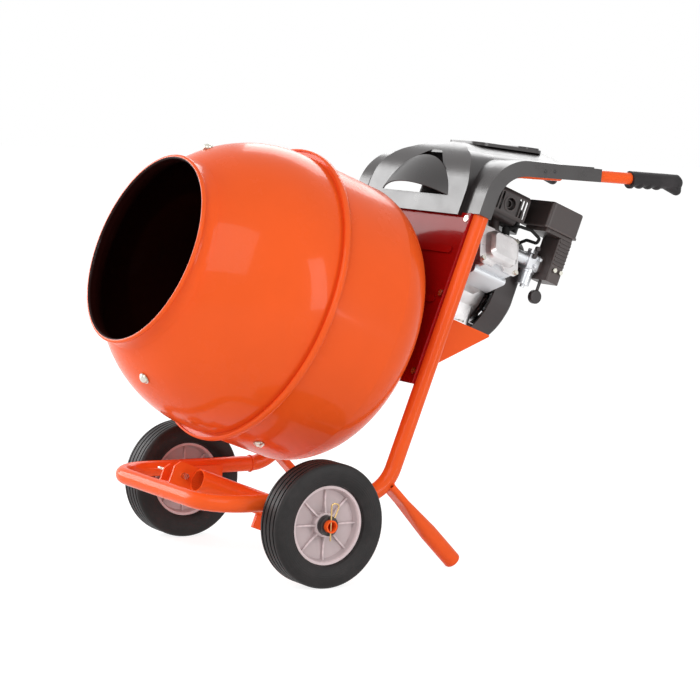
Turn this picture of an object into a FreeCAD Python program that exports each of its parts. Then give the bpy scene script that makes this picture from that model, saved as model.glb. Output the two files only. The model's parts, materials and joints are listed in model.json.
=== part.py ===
import FreeCAD, Part
import math
import os
from FreeCAD import Vector as V

# Petrol concrete mixer on two solid wheels: a bent-tube barrow frame, a drum on a leaning shaft,
# a gearbox and belt drive behind a pressed panel, and a small overhead-valve engine on a shelf.
# Row axes: +X to the mixer's left, +Y towards the handles, +Z up. The origin is on the ground,
# midway between the drum's lip and the ends of the grips. All sizes are in millimetres.

# Wheels and axle
axle_y = -300.6
wheel_d = 250.0
tyre_w = 66.0
tread_round = 9.0
groove_w = 4.0
groove_deep = 3.0
groove_pitch = 13.0
groove_count = 4
rim_r = 79.0
rim_w = 42.0
rim_band = 7.0
rim_web = 6.0
rim_hub_r = 24.0
rim_ribs = 8
rim_rib_t = 3.4
rim_hub_half = 14.0
rib_dip = 9.0
rib_rise = 11.0
bush_r = 20.0
bush_len = 50.0
wheel_track = 563.0
axle_d = 25.4
axle_wall = 3.0
axle_run = 0.08
axle_overhang = 9.5
clip_wire_r = 1.6
washer_t = 2.5
washer_r = 20.0

# Barrow frame
tube_d = 33.7
tube_wall = 2.6
frame_half_w = 216.0
rail_z = 160.5
cross_ahead = 212.0
corner_behind = 190.0
frame_bend_r = 85.0
top_bend_r = 88.0
lean = 20.0
upright_len = 713.5
run_drop = 2.1
run_len = 163.0
handle_d = 25.4
handle_wall = 2.0
handle_lap = 90.0
handle_out = 341.0
grip_len = 148.0
grip_d = 33.0
grip_lip = 3.5
grip_hook = 18.0
grip_hook_r = 11.0
weld_gap = 0.2

# Legs
leg_d = 37.0
leg_wall = 2.6
leg_foot_behind = 385.0
leg_end_round = 5.0
leg_flat = 0.6
leg_top_w = 46.0
leg_top_t = 15.0

# Stand socket under the drum, along the line of the drum shaft
socket_d = 48.3
socket_bore_d = 41.9
socket_s = -97.0
lock_ahead = 318.0
lock_gap = 20.0
socket_front = lock_ahead - lock_gap
socket_rear = 95.0
socket_stop = 181.0
socket_stop_bore_d = 32.0
hanger_t = 5.0

# Drum
drum_s = 299.0
mouth_ahead = 598.0
lip_r = 199.0
neck_r = 192.0
bell_mid_r = 284.0
bell_mid_ahead = 445.0
bell_seam_r = 302.0
seam_ahead = 328.0
belly_r = 303.0
seam_flange_r = 310.5
seam_band_t = 5.0
seam_band_w = 15.0
drum_back = 52.0
drum_flat_r = 165.0
drum_sheet = 2.5

# Mixing blades: each is bolted through the bell near the mouth and through the bowl
blade_t = 4.0
blade_gap = 3.0
blade_spacer = 2.4
blade_front = 516.0
blade_front_angle = 171.0
blade_rear = 254.0
blade_rear_angle = 160.0
blade_deep = 82.0
blade_foot = 42.0
blade_bolt_r = 5.0

# Drive
shaft_r = 17.5
flange_r = 62.0
flange_t = 8.0
run_fit = 0.05
gear_module = 3.0
lay_module = 1.8
gear_teeth = 55
pinion_teeth = 11
backlash = 0.35
lay_x = -62.0
gear_w = 17.0
lay_gear_w = 9.0
box_wall = 4.0
gear_room = 4.0
small_pitch_r = 27.0
large_pitch_r = 90.0
belt_w = 11.0
belt_t = 8.0

# Panel and engine shelf
panel_t = 2.5
panel_side = 2.0
panel_half_w = frame_half_w - panel_side
panel_low = 234.0
panel_high = 605.6
panel_mid_high = 630.0
panel_mid_half = 168.0
seat_gap = 0.3
shelf_s = 394.0
shelf_t = 4.0
shelf_side = 38.0
shelf_half_w = frame_half_w - shelf_side
shelf_reach = 150.0
shelf_web_low = 239.0

# Engine, placed from its crankshaft: crank_up above the shelf
crank_up = 100.0
engine_face = 55.0
cylinder_behind = 112.0
case_rear = 172.0
cylinder_lean = 25.0
fan_rear = 229.0
fan_cover_r = 115.0
fan_duct_r = 70.0
fan_duct_x = 45.0
fan_duct_up = 66.0
recoil_rear = 261.0
muffler_low = 634.0
box_face_x = 180.0
carb_x = 134.0
carb_y = 226.0
carb_s = 582.0

# Hood
hood_wall = 3.0
hood_low = 606.0
face_ahead = 30.0
splash_behind = 22.0
splash_drop = 14.0

RAD = math.pi / 180.0
X = V(1, 0, 0)
Y = V(0, 1, 0)
Z = V(0, 0, 1)

wheel_r = wheel_d / 2
axle_z = wheel_r
axle_r = axle_d / 2
tube_r = tube_d / 2
corner_y = axle_y + corner_behind
lip_wire_r = (lip_r - neck_r + drum_sheet) / 2


# ---- small helpers -------------------------------------------------------------------------

def rod(start, along, radius, length):
    return Part.makeCylinder(radius, length, start, along)


def sleeve(start, along, outer_r, bore_r, length):
    return rod(start, along, outer_r, length).cut(rod(start, along, bore_r, length))


def block(x0, x1, y0, y1, z0, z1):
    return Part.makeBox(x1 - x0, y1 - y0, z1 - z0, V(x0, y0, z0))


def fuse_all(shapes):
    whole = shapes[0]
    for shape in shapes[1:]:
        whole = whole.fuse(shape)
    return whole.removeSplitter()


def edges_along(shape, direction):
    found = []
    for edge in shape.Edges:
        if edge.Curve.TypeId == "Part::GeomLine":
            run = edge.tangentAt(edge.FirstParameter)
            if abs(run.dot(direction)) > 0.999:
                found.append(edge)
    return found


def outline(start, *legs):
    """A face from straight legs (an end point) and arcs (a pair: middle point, end point)."""
    edges = []
    here = start
    for leg in legs:
        if isinstance(leg, tuple):
            edges.append(Part.Arc(here, leg[0], leg[1]).toShape())
            here = leg[1]
        else:
            edges.append(Part.LineSegment(here, leg).toShape())
            here = leg
    if here.distanceToPoint(start) > 1e-6:
        edges.append(Part.LineSegment(here, start).toShape())
    return Part.Face(Part.Wire(edges))


def bent_path(points, radius):
    """Straight runs joined by tangent arcs of one radius."""
    edges = []
    start = points[0]
    for before, corner, after in zip(points, points[1:], points[2:]):
        back = (before - corner).normalize()
        on = (after - corner).normalize()
        half = math.acos(back.dot(on)) / 2
        set_back = radius / math.tan(half)
        inward = (back + on).normalize()
        middle = corner + inward * (radius / math.sin(half) - radius)
        edges.append(Part.LineSegment(start, corner + back * set_back).toShape())
        start = corner + on * set_back
        edges.append(Part.Arc(corner + back * set_back, middle, start).toShape())
    edges.append(Part.LineSegment(start, points[-1]).toShape())
    return Part.Wire(edges)


def swept(points, bend_r, radius):
    path = bent_path(points, bend_r)
    start = points[0]
    circle = Part.Circle(start, points[1] - start, radius).toShape()
    return path.makePipeShell([Part.Wire(circle)], True, True)


def tube(points, bend_r, outer_r, bore_r):
    return swept(points, bend_r, outer_r).cut(swept(points, bend_r, bore_r))


def mirrored(shape):
    return shape.mirror(V(0, 0, 0), X)


def lean_back(shape):
    """Moves a shape from the drive frame to its place. The drive frame has its origin at the
    frame's rear corner, z up the uprights and y to the rear along the drum's axis."""
    placed = shape.copy()
    placed.rotate(V(0, 0, 0), X, -lean)
    placed.translate(V(0, corner_y, rail_z))
    return placed


def hull_of_two(centre_a, r_a, centre_b, r_b):
    """Outline in the xz plane round two circles and the tangents that join them."""
    gap = centre_b - centre_a
    along = V(gap).normalize()
    side = V(-along.z, 0, along.x)
    turn = math.acos((r_a - r_b) / gap.Length)
    up = along * math.cos(turn) + side * math.sin(turn)
    down = along * math.cos(turn) - side * math.sin(turn)
    a_up = centre_a + up * r_a
    a_down = centre_a + down * r_a
    b_up = centre_b + up * r_b
    b_down = centre_b + down * r_b
    a_far = centre_a - along * r_a
    b_far = centre_b + along * r_b
    return outline(a_up, b_up, (b_far, b_down), a_down, (a_far, a_up))


# ---- wheels --------------------------------------------------------------------------------

def make_tyre(centre_x):
    """Solid rubber tyre with rounded shoulders and running grooves."""
    half = tyre_w / 2
    shoulder = wheel_r - tread_round
    bulge = V(half + 1.0, 0, (shoulder + rim_r) / 2)
    corner = tread_round * (1 - math.sqrt(0.5))
    face = outline(
        V(-half + tread_round, 0, wheel_r),
        V(half - tread_round, 0, wheel_r),
        (V(half - corner, 0, wheel_r - corner), V(half, 0, shoulder)),
        (bulge, V(half - 5.0, 0, rim_r + 3.0)),
        V(rim_w / 2 - 1.0, 0, rim_r),
        V(-rim_w / 2 + 1.0, 0, rim_r),
        V(-half + 5.0, 0, rim_r + 3.0),
        (V(-bulge.x, 0, bulge.z), V(-half, 0, shoulder)),
        (V(-half + corner, 0, wheel_r - corner), V(-half + tread_round, 0, wheel_r)))
    tyre = face.revolve(V(0, 0, 0), X, 360)
    first = -groove_pitch * (groove_count - 1) / 2
    for index in range(groove_count):
        middle = first + groove_pitch * index
        start = V(middle - groove_w / 2, 0, 0)
        tyre = tyre.cut(sleeve(start, X, wheel_r + 1, wheel_r - groove_deep, groove_w))
    tyre.translate(V(centre_x, axle_y, axle_z))
    return tyre


def make_rim(centre_x):
    """Moulded rim: outer band, dished web, short hub, and dipped ribs on both faces."""
    band_in = rim_r - rim_band
    half = rim_w / 2
    face = outline(
        V(-half, 0, rim_r), V(half, 0, rim_r), V(half, 0, band_in + 2.0),
        V(rim_web / 2 + 2.0, 0, band_in - 3.0),
        V(rim_web / 2, 0, rim_hub_r + 2.0),
        V(rim_hub_half, 0, rim_hub_r),
        V(rim_hub_half, 0, bush_r),
        V(-rim_hub_half, 0, bush_r),
        V(-rim_hub_half, 0, rim_hub_r),
        V(-rim_web / 2, 0, rim_hub_r + 2.0),
        V(-rim_web / 2 - 2.0, 0, band_in - 3.0),
        V(-half, 0, band_in + 2.0))
    rim = face.revolve(V(0, 0, 0), X, 360)
    inner = rim_hub_r - 1.0
    outer = band_in + 0.5
    middle = (inner + outer) / 2
    rib = outline(V(-rim_hub_half, 0, inner), V(rim_hub_half, 0, inner),
                  (V(rib_dip, 0, middle), V(rib_rise, 0, outer)), V(-rib_rise, 0, outer),
                  (V(-rib_dip, 0, middle), V(-rim_hub_half, 0, inner)))
    rib = rib.extrude(Y * rim_rib_t)
    rib.translate(Y * (-rim_rib_t / 2))
    ribs = []
    for index in range(rim_ribs):
        copy = rib.copy()
        copy.rotate(V(0, 0, 0), X, 360.0 / rim_ribs * index)
        ribs.append(copy)
    rim = fuse_all([rim] + ribs)
    rim.translate(V(centre_x, axle_y, axle_z))
    return rim


def make_bush(centre_x):
    start = V(centre_x - bush_len / 2, axle_y, axle_z)
    return sleeve(start, X, bush_r, axle_r + axle_run, bush_len)


def make_axle():
    half = wheel_track / 2 + bush_len / 2 + washer_t + seat_gap + axle_overhang
    start = V(-half, axle_y, axle_z)
    axle = sleeve(start, X, axle_r, axle_r - axle_wall, 2 * half)
    for side in (-1, 1):
        hole = V(side * clip_x(), axle_y, axle_z - wheel_r / 2)
        axle = axle.cut(rod(hole, Z, clip_wire_r + 0.4, wheel_r))
    return axle


def clip_x():
    return wheel_track / 2 + bush_len / 2 + washer_t + seat_gap + axle_overhang / 2


def make_clip(side):
    """Bent spring-wire clip: a straight leg through the axle and a teardrop loop above it."""
    x = side * clip_x()
    below = V(x, axle_y, axle_z - axle_r - 16.0)
    top = V(x, axle_y, axle_z + axle_r + 34.0)
    over = V(x, axle_y + 19.0, axle_z + axle_r + 30.0)
    end = V(x, axle_y + 8.0, axle_z + axle_r + 4.0)
    return swept([below, top, over, end], 6.0, clip_wire_r)


def make_washer(side):
    inner = wheel_track / 2 + bush_len / 2 + seat_gap
    start = inner if side > 0 else -inner - washer_t
    return sleeve(V(start, axle_y, axle_z), X, washer_r, axle_r + 0.3, washer_t)


def make_inner_collar(side):
    """Collar that keeps the wheel off the frame."""
    outer = wheel_track / 2 - bush_len / 2 - seat_gap
    inner = frame_half_w + tube_r - 8.0
    start = inner if side > 0 else -outer
    return sleeve(V(start, axle_y, axle_z), X, axle_r + 5.0, axle_r, outer - inner)


# ---- frame ---------------------------------------------------------------------------------

def upright_points(side):
    """Corner points of one side of the frame, from the rail up to the end of the top run."""
    x = side * frame_half_w
    corner = V(x, corner_y, rail_z)
    up = V(0, math.sin(lean * RAD), math.cos(lean * RAD))
    top = corner + up * upright_len
    rear = V(0, math.cos(run_drop * RAD), -math.sin(run_drop * RAD))
    return corner, top, top + rear * run_len, rear


def rail_end_y():
    """Where the straight rail gives way to the rear bend."""
    turn = (90.0 - lean) / 2
    return corner_y - frame_bend_r * math.tan(turn * RAD)


def make_base_loop():
    front = axle_y - cross_ahead
    points = [V(frame_half_w, rail_end_y(), rail_z), V(frame_half_w, front, rail_z),
              V(-frame_half_w, front, rail_z), V(-frame_half_w, rail_end_y(), rail_z)]
    skin = swept(points, frame_bend_r, tube_r)
    hanger = make_axle_hanger()
    loop = skin.fuse(hanger).fuse(mirrored(hanger))
    return loop.cut(swept(points, frame_bend_r, tube_r - tube_wall))


def make_upright(side):
    corner, top, end, rear = upright_points(side)
    start = V(corner.x, rail_end_y() - 5.0, rail_z)
    lower = bent_path([start, corner, (corner + top) * 0.5], frame_bend_r)
    upper = bent_path([(corner + top) * 0.5, top, end], top_bend_r)
    edges = lower.Edges[1:] + upper.Edges
    path = Part.Wire(edges)
    first = edges[0]
    begin = first.valueAt(first.FirstParameter)
    toward = first.tangentAt(first.FirstParameter)
    solids = []
    for radius in (tube_r, tube_r - tube_wall):
        circle = Part.Circle(begin, toward, radius).toShape()
        solids.append(path.makePipeShell([Part.Wire(circle)], True, True))
    upright = solids[0].cut(solids[1])
    for row in bolt_rows:
        hole = rod(V(side * bolt_x, panel_front, row), Y, bolt_hole_r, -panel_front)
        upright = upright.cut(lean_back(hole))
    return upright


def make_leg(side):
    """Leg tube with a rounded closed foot, flattened at the top against the frame's bend."""
    x = side * frame_half_w
    foot = V(x, axle_y + leg_foot_behind, 0)
    seat = V(x, corner_y + 16.0, rail_z + 12.0)
    along = (seat - foot).normalize()
    top = seat + along * 12.0
    across = V(0, along.z, -along.y)
    lean = abs(along.y)
    low = leg_end_round + (leg_d / 2 - leg_flat - leg_end_round) * lean
    start = foot + along * (low / along.z - leg_end_round)

    def section(centre, half_wide, half_thick):
        wide = X * (half_wide - half_thick)
        thick = across * half_thick
        a = centre + wide + thick
        b = centre - wide + thick
        c = centre - wide - thick
        d = centre + wide - thick
        return Part.Wire([
            Part.LineSegment(a, b).toShape(),
            Part.Arc(b, centre - X * half_wide, c).toShape(),
            Part.LineSegment(c, d).toShape(),
            Part.Arc(d, centre + X * half_wide, a).toShape()])

    length = (top - foot).Length
    mid = foot + along * (length * 0.42)
    late = foot + along * (length * 0.8)

    def skin(inset):
        half = leg_d / 2 - inset
        low_end = start + along * inset
        round_part = Part.Face(section(low_end, half, half - leg_flat)).extrude(mid - low_end)
        if inset == 0:
            end_edges = [edge for edge in round_part.Edges
                         if abs((edge.CenterOfMass - start).dot(along)) < 0.01]
            round_part = round_part.makeFillet(leg_end_round, end_edges)
        sections = [section(mid, half, half - leg_flat),
                    section(late, leg_top_w / 2 - inset, leg_top_t / 2 - inset)]
        flat = Part.makeLoft(sections, True, True)
        tongue = Part.Face(section(late, leg_top_w / 2 - inset, leg_top_t / 2 - inset))
        return round_part.fuse(flat).fuse(tongue.extrude(top - late))

    leg = skin(0).cut(skin(leg_wall))
    corner, bend_top, end, rear = upright_points(side)
    keep_off = bent_path([V(x, corner_y - 150, rail_z), corner, (corner + bend_top) * 0.5],
                         frame_bend_r)
    circle = Part.Circle(V(x, corner_y - 150, rail_z), Y, tube_r + weld_gap).toShape()
    keep_off = keep_off.makePipeShell([Part.Wire(circle)], True, True)
    leg = leg.cut(keep_off)
    return largest(leg)


def largest(shape):
    return max(shape.Solids, key=lambda solid: solid.Volume)


def make_socket():
    """Tube along the mixer's middle that takes a stand's spigot, with a stop lug below it."""
    start = V(0, -socket_front, socket_s)
    length = socket_front - socket_rear
    low = socket_s - socket_d / 2 - 29.0
    high = socket_s - socket_d / 2 + 4.0
    face = outline(V(-4.0, -socket_rear - 41.0, high), V(-4.0, -socket_rear - 5.0, high),
                   V(-4.0, -socket_rear - 5.0, low + 6.0), V(-4.0, -socket_rear - 11.0, low),
                   V(-4.0, -socket_rear - 41.0, low))
    socket = rod(start, Y, socket_d / 2, length).fuse(face.extrude(X * 8.0))
    socket = socket.cut(rod(start, Y, socket_bore_d / 2, socket_front - socket_stop))
    socket = lean_back(socket.cut(rod(start, Y, socket_stop_bore_d / 2, length)))
    return socket.cut(rod(V(-60, axle_y, axle_z), X, axle_r + weld_gap, 120))


def make_axle_hanger():
    """Plate on the inner face of a side rail that carries the axle."""
    inner = frame_half_w - tube_r - hanger_t
    face = outline(
        V(inner, axle_y - 50.0, rail_z + 4.0), V(inner, axle_y + 50.0, rail_z + 4.0),
        V(inner, axle_y + 50.0, axle_z + 8.0), V(inner, axle_y + 22.0, axle_z - 24.0),
        V(inner, axle_y - 22.0, axle_z - 24.0), V(inner, axle_y - 50.0, axle_z + 8.0))
    plate = face.extrude(X * (hanger_t + 2.0))
    return plate.cut(rod(V(inner - 5, axle_y, axle_z), X, axle_r + weld_gap, 30))


# ---- the drum ------------------------------------------------------------------------------

def drum_point(ahead, radius):
    return V(0, -ahead, drum_s + radius)


def turned(face):
    return face.revolve(V(0, 0, drum_s), Y, 360)


def bell_circle():
    """Centre (ahead, radius) and radius of the arc that the bell's outside follows."""
    ax, ay = seam_ahead + drum_sheet, bell_seam_r
    bx, by = bell_mid_ahead, bell_mid_r
    cx, cy = mouth_ahead - 36.0, neck_r + 9.0
    d = 2 * (ax * (by - cy) + bx * (cy - ay) + cx * (ay - by))
    a2 = ax * ax + ay * ay
    b2 = bx * bx + by * by
    c2 = cx * cx + cy * cy
    x = (a2 * (by - cy) + b2 * (cy - ay) + c2 * (ay - by)) / d
    y = (a2 * (cx - bx) + b2 * (ax - cx) + c2 * (bx - ax)) / d
    return x, y, math.hypot(ax - x, ay - y)


def wall_at(ahead, angle):
    """Point on the drum's outside and its outward normal, in the drive frame."""
    if ahead > seam_ahead:
        mid, centre_r, radius = bell_circle()
        out = math.sqrt(radius ** 2 - (ahead - mid) ** 2)
        point_r = centre_r + out
        tilt_ahead, tilt_out = (ahead - mid) / radius, out / radius
    else:
        point_r = belly_r
        tilt_ahead, tilt_out = 0.0, 1.0
    outward = V(math.sin(angle * RAD), 0, math.cos(angle * RAD))
    point = outward * point_r + V(0, -ahead, drum_s)
    return point, outward * tilt_out - Y * tilt_ahead


def blade_bolt_places():
    places = []
    for half_turn in (0.0, 180.0):
        places.append(wall_at(blade_front, blade_front_angle + half_turn))
        places.append(wall_at(blade_rear, blade_rear_angle + half_turn))
    return places


def drilled(shell):
    for point, normal in blade_bolt_places():
        shell = shell.cut(rod(point - normal * 10.0, normal, blade_bolt_r + 0.2, 20.0))
    return shell


def wall_placement(ahead, angle):
    """Frame on the drum's outside: X round the drum, Z outward."""
    point, normal = wall_at(ahead, angle)
    round_drum = V(math.cos(angle * RAD), 0, -math.sin(angle * RAD))
    return FreeCAD.Placement(point, FreeCAD.Rotation(round_drum, V(), normal, "ZXY"))


def make_blades():
    """Two paddles that follow the drum's inside, each on a pair of bent feet."""
    mid, centre_r, radius = bell_circle()
    inner = radius - drum_sheet - blade_gap

    def edge_point(ahead):
        return drum_point(ahead, centre_r + math.sqrt(inner ** 2 - (ahead - mid) ** 2))

    tip = blade_front - 8.0
    heel = blade_rear - 18.0
    straight = belly_r - drum_sheet - blade_gap - 1.0
    face = outline(
        drum_point(heel, straight), drum_point(seam_ahead, straight),
        edge_point(seam_ahead + 6.0), (edge_point((seam_ahead + tip) / 2), edge_point(tip)),
        edge_point(tip) - Z * (blade_deep * 0.6) + Y * 10.0,
        (drum_point((tip + heel) / 2, straight - blade_deep - 26.0),
         drum_point(heel + 22.0, straight - blade_deep)),
        drum_point(heel, straight - blade_deep + 24.0))
    face.translate(X * (-blade_t / 2))
    whole = face.extrude(X * blade_t)
    middle_angle = (blade_front_angle + blade_rear_angle) / 2
    whole.rotate(V(0, 0, drum_s), Y, middle_angle)
    for ahead, angle in ((blade_front, blade_front_angle), (blade_rear, blade_rear_angle)):
        point, normal = wall_at(ahead, angle)
        reach = V(point.x, 0, point.z - drum_s).Length * math.sin((middle_angle - angle) * RAD)
        near, far = sorted((math.copysign(-18.0, reach), reach + math.copysign(1.5, reach)))
        foot = block(near, far, -blade_foot / 2, blade_foot / 2,
                     -drum_sheet - blade_spacer - blade_t, -drum_sheet - blade_spacer)
        foot.Placement = wall_placement(ahead, angle)
        whole = whole.fuse(foot)
        whole = whole.cut(rod(point - normal * 20.0, normal, blade_bolt_r + 0.2, 30.0))
    whole = largest(whole)
    other = whole.copy()
    other.rotate(V(0, 0, drum_s), Y, 180.0)
    return lean_back(Part.makeCompound([whole, other]))


def make_blade_bolts():
    """Dome-headed bolts outside the drum, each with a spacer and a nut on the blade's foot."""
    bolts = []
    for point, normal in blade_bolt_places():
        grip = drum_sheet + blade_t + blade_spacer
        shank = rod(point - normal * (grip + 8.0), normal, blade_bolt_r, grip + 10.0)
        washer = rod(point + normal * 0.9, normal, 12.0, 1.6)
        dome = Part.makeSphere(11.0, point - normal * 1.0)
        dome = dome.common(rod(point + normal * 2.4, normal, 10.0, 7.0))
        spacer = rod(point - normal * (drum_sheet + 2.1), normal, 8.0, 1.3)
        nut = hex_bolt(point - normal * (grip + 0.3), normal, 16.0, 7.5, 4.0, 0.1)
        bolts.append(fuse_all([shank, washer, dome, spacer, nut]))
    return lean_back(Part.makeCompound(bolts))


def make_drum_bell():
    """Front half of the drum, with its seam flange, neck and rolled lip."""
    def wall(inset):
        return [
            drum_point(seam_ahead + drum_sheet, bell_seam_r - inset),
            drum_point(bell_mid_ahead, bell_mid_r - inset),
            drum_point(mouth_ahead - 36.0, neck_r + 9.0 - inset),
            drum_point(mouth_ahead - 27.5, neck_r + 3.2 - inset),
            drum_point(mouth_ahead - 16.0, neck_r - inset),
            drum_point(mouth_ahead - lip_wire_r, neck_r - inset)]
    outer = wall(0)
    inner = wall(drum_sheet)
    flange_out = drum_point(seam_ahead + drum_sheet, seam_flange_r)
    flange_back = drum_point(seam_ahead, seam_flange_r)
    flange_in = drum_point(seam_ahead, bell_seam_r - drum_sheet)
    face = outline(outer[0], (outer[1], outer[2]), (outer[3], outer[4]), outer[5],
                   inner[5], inner[4], (inner[3], inner[2]), (inner[1], inner[0]),
                   flange_in, flange_back, flange_out)
    bell = turned(face)
    centre = V(0, -(mouth_ahead - lip_wire_r), drum_s)
    lip = Part.makeTorus(lip_r - lip_wire_r, lip_wire_r, centre, Y)
    return lean_back(drilled(bell.fuse(lip)))


def make_drum_bowl():
    """Rear half of the drum: a straight belly, a wide knuckle and a flat back."""
    knuckle_end = 158.0

    def wall(inset):
        return [
            drum_point(drum_back + inset, shaft_r + 0.5),
            drum_point(drum_back + inset, drum_flat_r),
            drum_point(83.0 + inset * 0.75, 262.0 - inset * 0.66),
            drum_point(knuckle_end, belly_r - 0.5 - inset),
            drum_point(seam_ahead, belly_r - inset)]
    outer = wall(0)
    inner = wall(drum_sheet)
    face = outline(outer[0], outer[1], (outer[2], outer[3]),
                   drum_point(seam_ahead - drum_sheet, belly_r),
                   drum_point(seam_ahead - drum_sheet, seam_flange_r),
                   drum_point(seam_ahead, seam_flange_r),
                   inner[4], inner[3], (inner[2], inner[1]), inner[0])
    bowl = turned(face)
    for place in drum_bolt_places():
        bowl = bowl.cut(rod(place - Y * 10.0, Y, 5.2, 20.0))
    return lean_back(drilled(bowl))


def make_seam_band():
    half = seam_band_w / 2
    base = seam_flange_r + weld_gap
    face = outline(
        drum_point(seam_ahead - half, base),
        (drum_point(seam_ahead - half * 0.7, base + seam_band_t * 0.75),
         drum_point(seam_ahead, base + seam_band_t)),
        (drum_point(seam_ahead + half * 0.7, base + seam_band_t * 0.75),
         drum_point(seam_ahead + half, base)))
    return lean_back(turned(face))


def drum_bolt_places():
    ring = flange_r - 14.0
    return [V(ring * math.sin(60.0 * RAD * i), -drum_back, drum_s + ring * math.cos(60.0 * RAD * i))
            for i in range(6)]


def make_drum_bolts():
    bolts = [hex_bolt(place - Y * drum_sheet, Y, 16.0, 6.5, 5.0, drum_sheet + flange_t + 1.0)
             for place in drum_bolt_places()]
    return lean_back(Part.makeCompound(bolts))


def make_drum_shaft():
    """Shaft with the flange that the drum's back is bolted to."""
    flange = rod(V(0, -drum_back, drum_s), Y, flange_r, flange_t)
    for place in drum_bolt_places():
        flange = flange.cut(rod(place - Y, Y, 5.2, 20.0))
    rear = gearbox_rear() - box_wall - seat_gap
    nose = rod(V(0, -drum_back - 14.0, drum_s), Y, shaft_r, 14.0 + drum_back + rear)
    return lean_back(flange.fuse(nose))


def gearbox_rear():
    """Rear face of the gearbox, measured to the rear from the uprights' plane."""
    return -tube_r + box_wall + gear_room + gear_w + 2.0 + lay_gear_w + gear_room + box_wall


# ---- reduction gearbox ---------------------------------------------------------------------

output_y = -tube_r + box_wall + gear_room
lay_gear_y = output_y + gear_w + 2.0
big_gear_r = gear_module * gear_teeth / 2
lay_gear_r = lay_module * gear_teeth / 2
centre_one = gear_module * (gear_teeth + pinion_teeth) / 2
centre_two = lay_module * (gear_teeth + pinion_teeth) / 2
output_at = V(0, 0, drum_s)
lay_at = V(lay_x, 0, drum_s + math.sqrt(centre_one ** 2 - lay_x ** 2))
input_drop = 13.0
input_at = lay_at + V(math.sqrt(centre_two ** 2 - input_drop ** 2), 0, -input_drop)
crank_at = V(0, 0, shelf_s + crank_up)
lay_shaft_r = 9.0
input_shaft_r = 8.0
bearing_wall = 8.5
gear_tip = 0.7
pinion_tip = 0.9
gear_root = 1.25


def gear_blank(module, teeth, tip, facing, start_y, width):
    """Spur gear with involute flanks; the middle of one tooth points along facing."""
    pitch_r = module * teeth / 2
    base_r = pitch_r * math.cos(20 * RAD)
    root_r = pitch_r - gear_root * module
    tip_r = pitch_r + tip * module
    half_at_pitch = (math.pi * module / 2 - backlash / 2) / (2 * pitch_r)

    def half_angle(radius):
        roll = math.acos(min(1.0, base_r / radius))
        pitch_roll = 20 * RAD
        spread = math.tan(pitch_roll) - pitch_roll - math.tan(roll) + roll
        return half_at_pitch + spread

    radii = [root_r, pitch_r, tip_r]
    if root_r < base_r:
        radii = [root_r, base_r, pitch_r, tip_r]
    flank = [(radius, half_angle(max(radius, base_r))) for radius in radii]
    middle = math.atan2(facing.x, facing.z)
    corners = []
    for tooth in range(teeth):
        centre = middle + 2 * math.pi * tooth / teeth
        for radius, half in flank:
            corners.append((radius, centre - half))
        for radius, half in reversed(flank):
            corners.append((radius, centre + half))
    points = [V(r * math.sin(a), start_y, r * math.cos(a)) for r, a in corners]
    points.append(points[0])
    return Part.Face(Part.makePolygon(points)).extrude(Y * width)


def meshing_gap(teeth, toward):
    """Direction of a tooth, half a pitch round from a gap that points along toward."""
    angle = math.atan2(toward.x, toward.z) + math.pi / teeth
    return V(math.sin(angle), 0, math.cos(angle))


def make_output_gear():
    wheel = gear_blank(gear_module, gear_teeth, gear_tip, lay_at - output_at, output_y, gear_w)
    recess = big_gear_r - 4 * gear_module
    for start in (output_y, output_y + gear_w - 4.0):
        wheel = wheel.cut(sleeve(V(0, start, 0), Y, recess, shaft_r + 12.0, 4.0))
    hole_ring = (recess + shaft_r + 12.0) / 2
    for index in range(6):
        hole = rod(V(hole_ring, output_y, 0), Y, 10.0, gear_w)
        hole.rotate(V(0, 0, 0), Y, 60.0 * index)
        wheel = wheel.cut(hole)
    wheel = wheel.cut(rod(V(0, output_y, 0), Y, shaft_r, gear_w))
    wheel.translate(output_at)
    return lean_back(wheel)


def make_lay_gear():
    """Countershaft: large wheel driven by the input pinion, and the pinion that turns the drum."""
    toward_input = input_at - lay_at
    wheel = gear_blank(lay_module, gear_teeth, gear_tip, toward_input, lay_gear_y, lay_gear_w)
    toward_output = meshing_gap(pinion_teeth, output_at - lay_at)
    pinion = gear_blank(gear_module, pinion_teeth, pinion_tip, toward_output, output_y, gear_w)
    collar = rod(V(0, output_y + gear_w, 0), Y, lay_shaft_r + 4.0, lay_gear_y - output_y - gear_w)
    start = -tube_r + seat_gap
    shaft = rod(V(0, start, 0), Y, lay_shaft_r, gearbox_rear() - seat_gap - start)
    whole = wheel.fuse(pinion).fuse(collar).fuse(shaft)
    whole.translate(lay_at)
    return lean_back(whole)


def make_input_shaft():
    toward_lay = meshing_gap(pinion_teeth, lay_at - input_at)
    pinion = gear_blank(lay_module, pinion_teeth, pinion_tip, toward_lay, lay_gear_y, lay_gear_w)
    start = lay_gear_y + lay_gear_w
    shaft = rod(V(0, start, 0), Y, input_shaft_r, pulley_y() + pulley_w() + 6.0 - start)
    whole = pinion.fuse(shaft)
    whole.translate(input_at)
    return lean_back(whole)


def housing_outline(inset):
    big = big_gear_r + gear_tip * gear_module + gear_room + box_wall - inset
    small = lay_gear_r + gear_tip * lay_module + gear_room + box_wall - inset
    return hull_of_two(output_at, big, lay_at, small)


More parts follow.
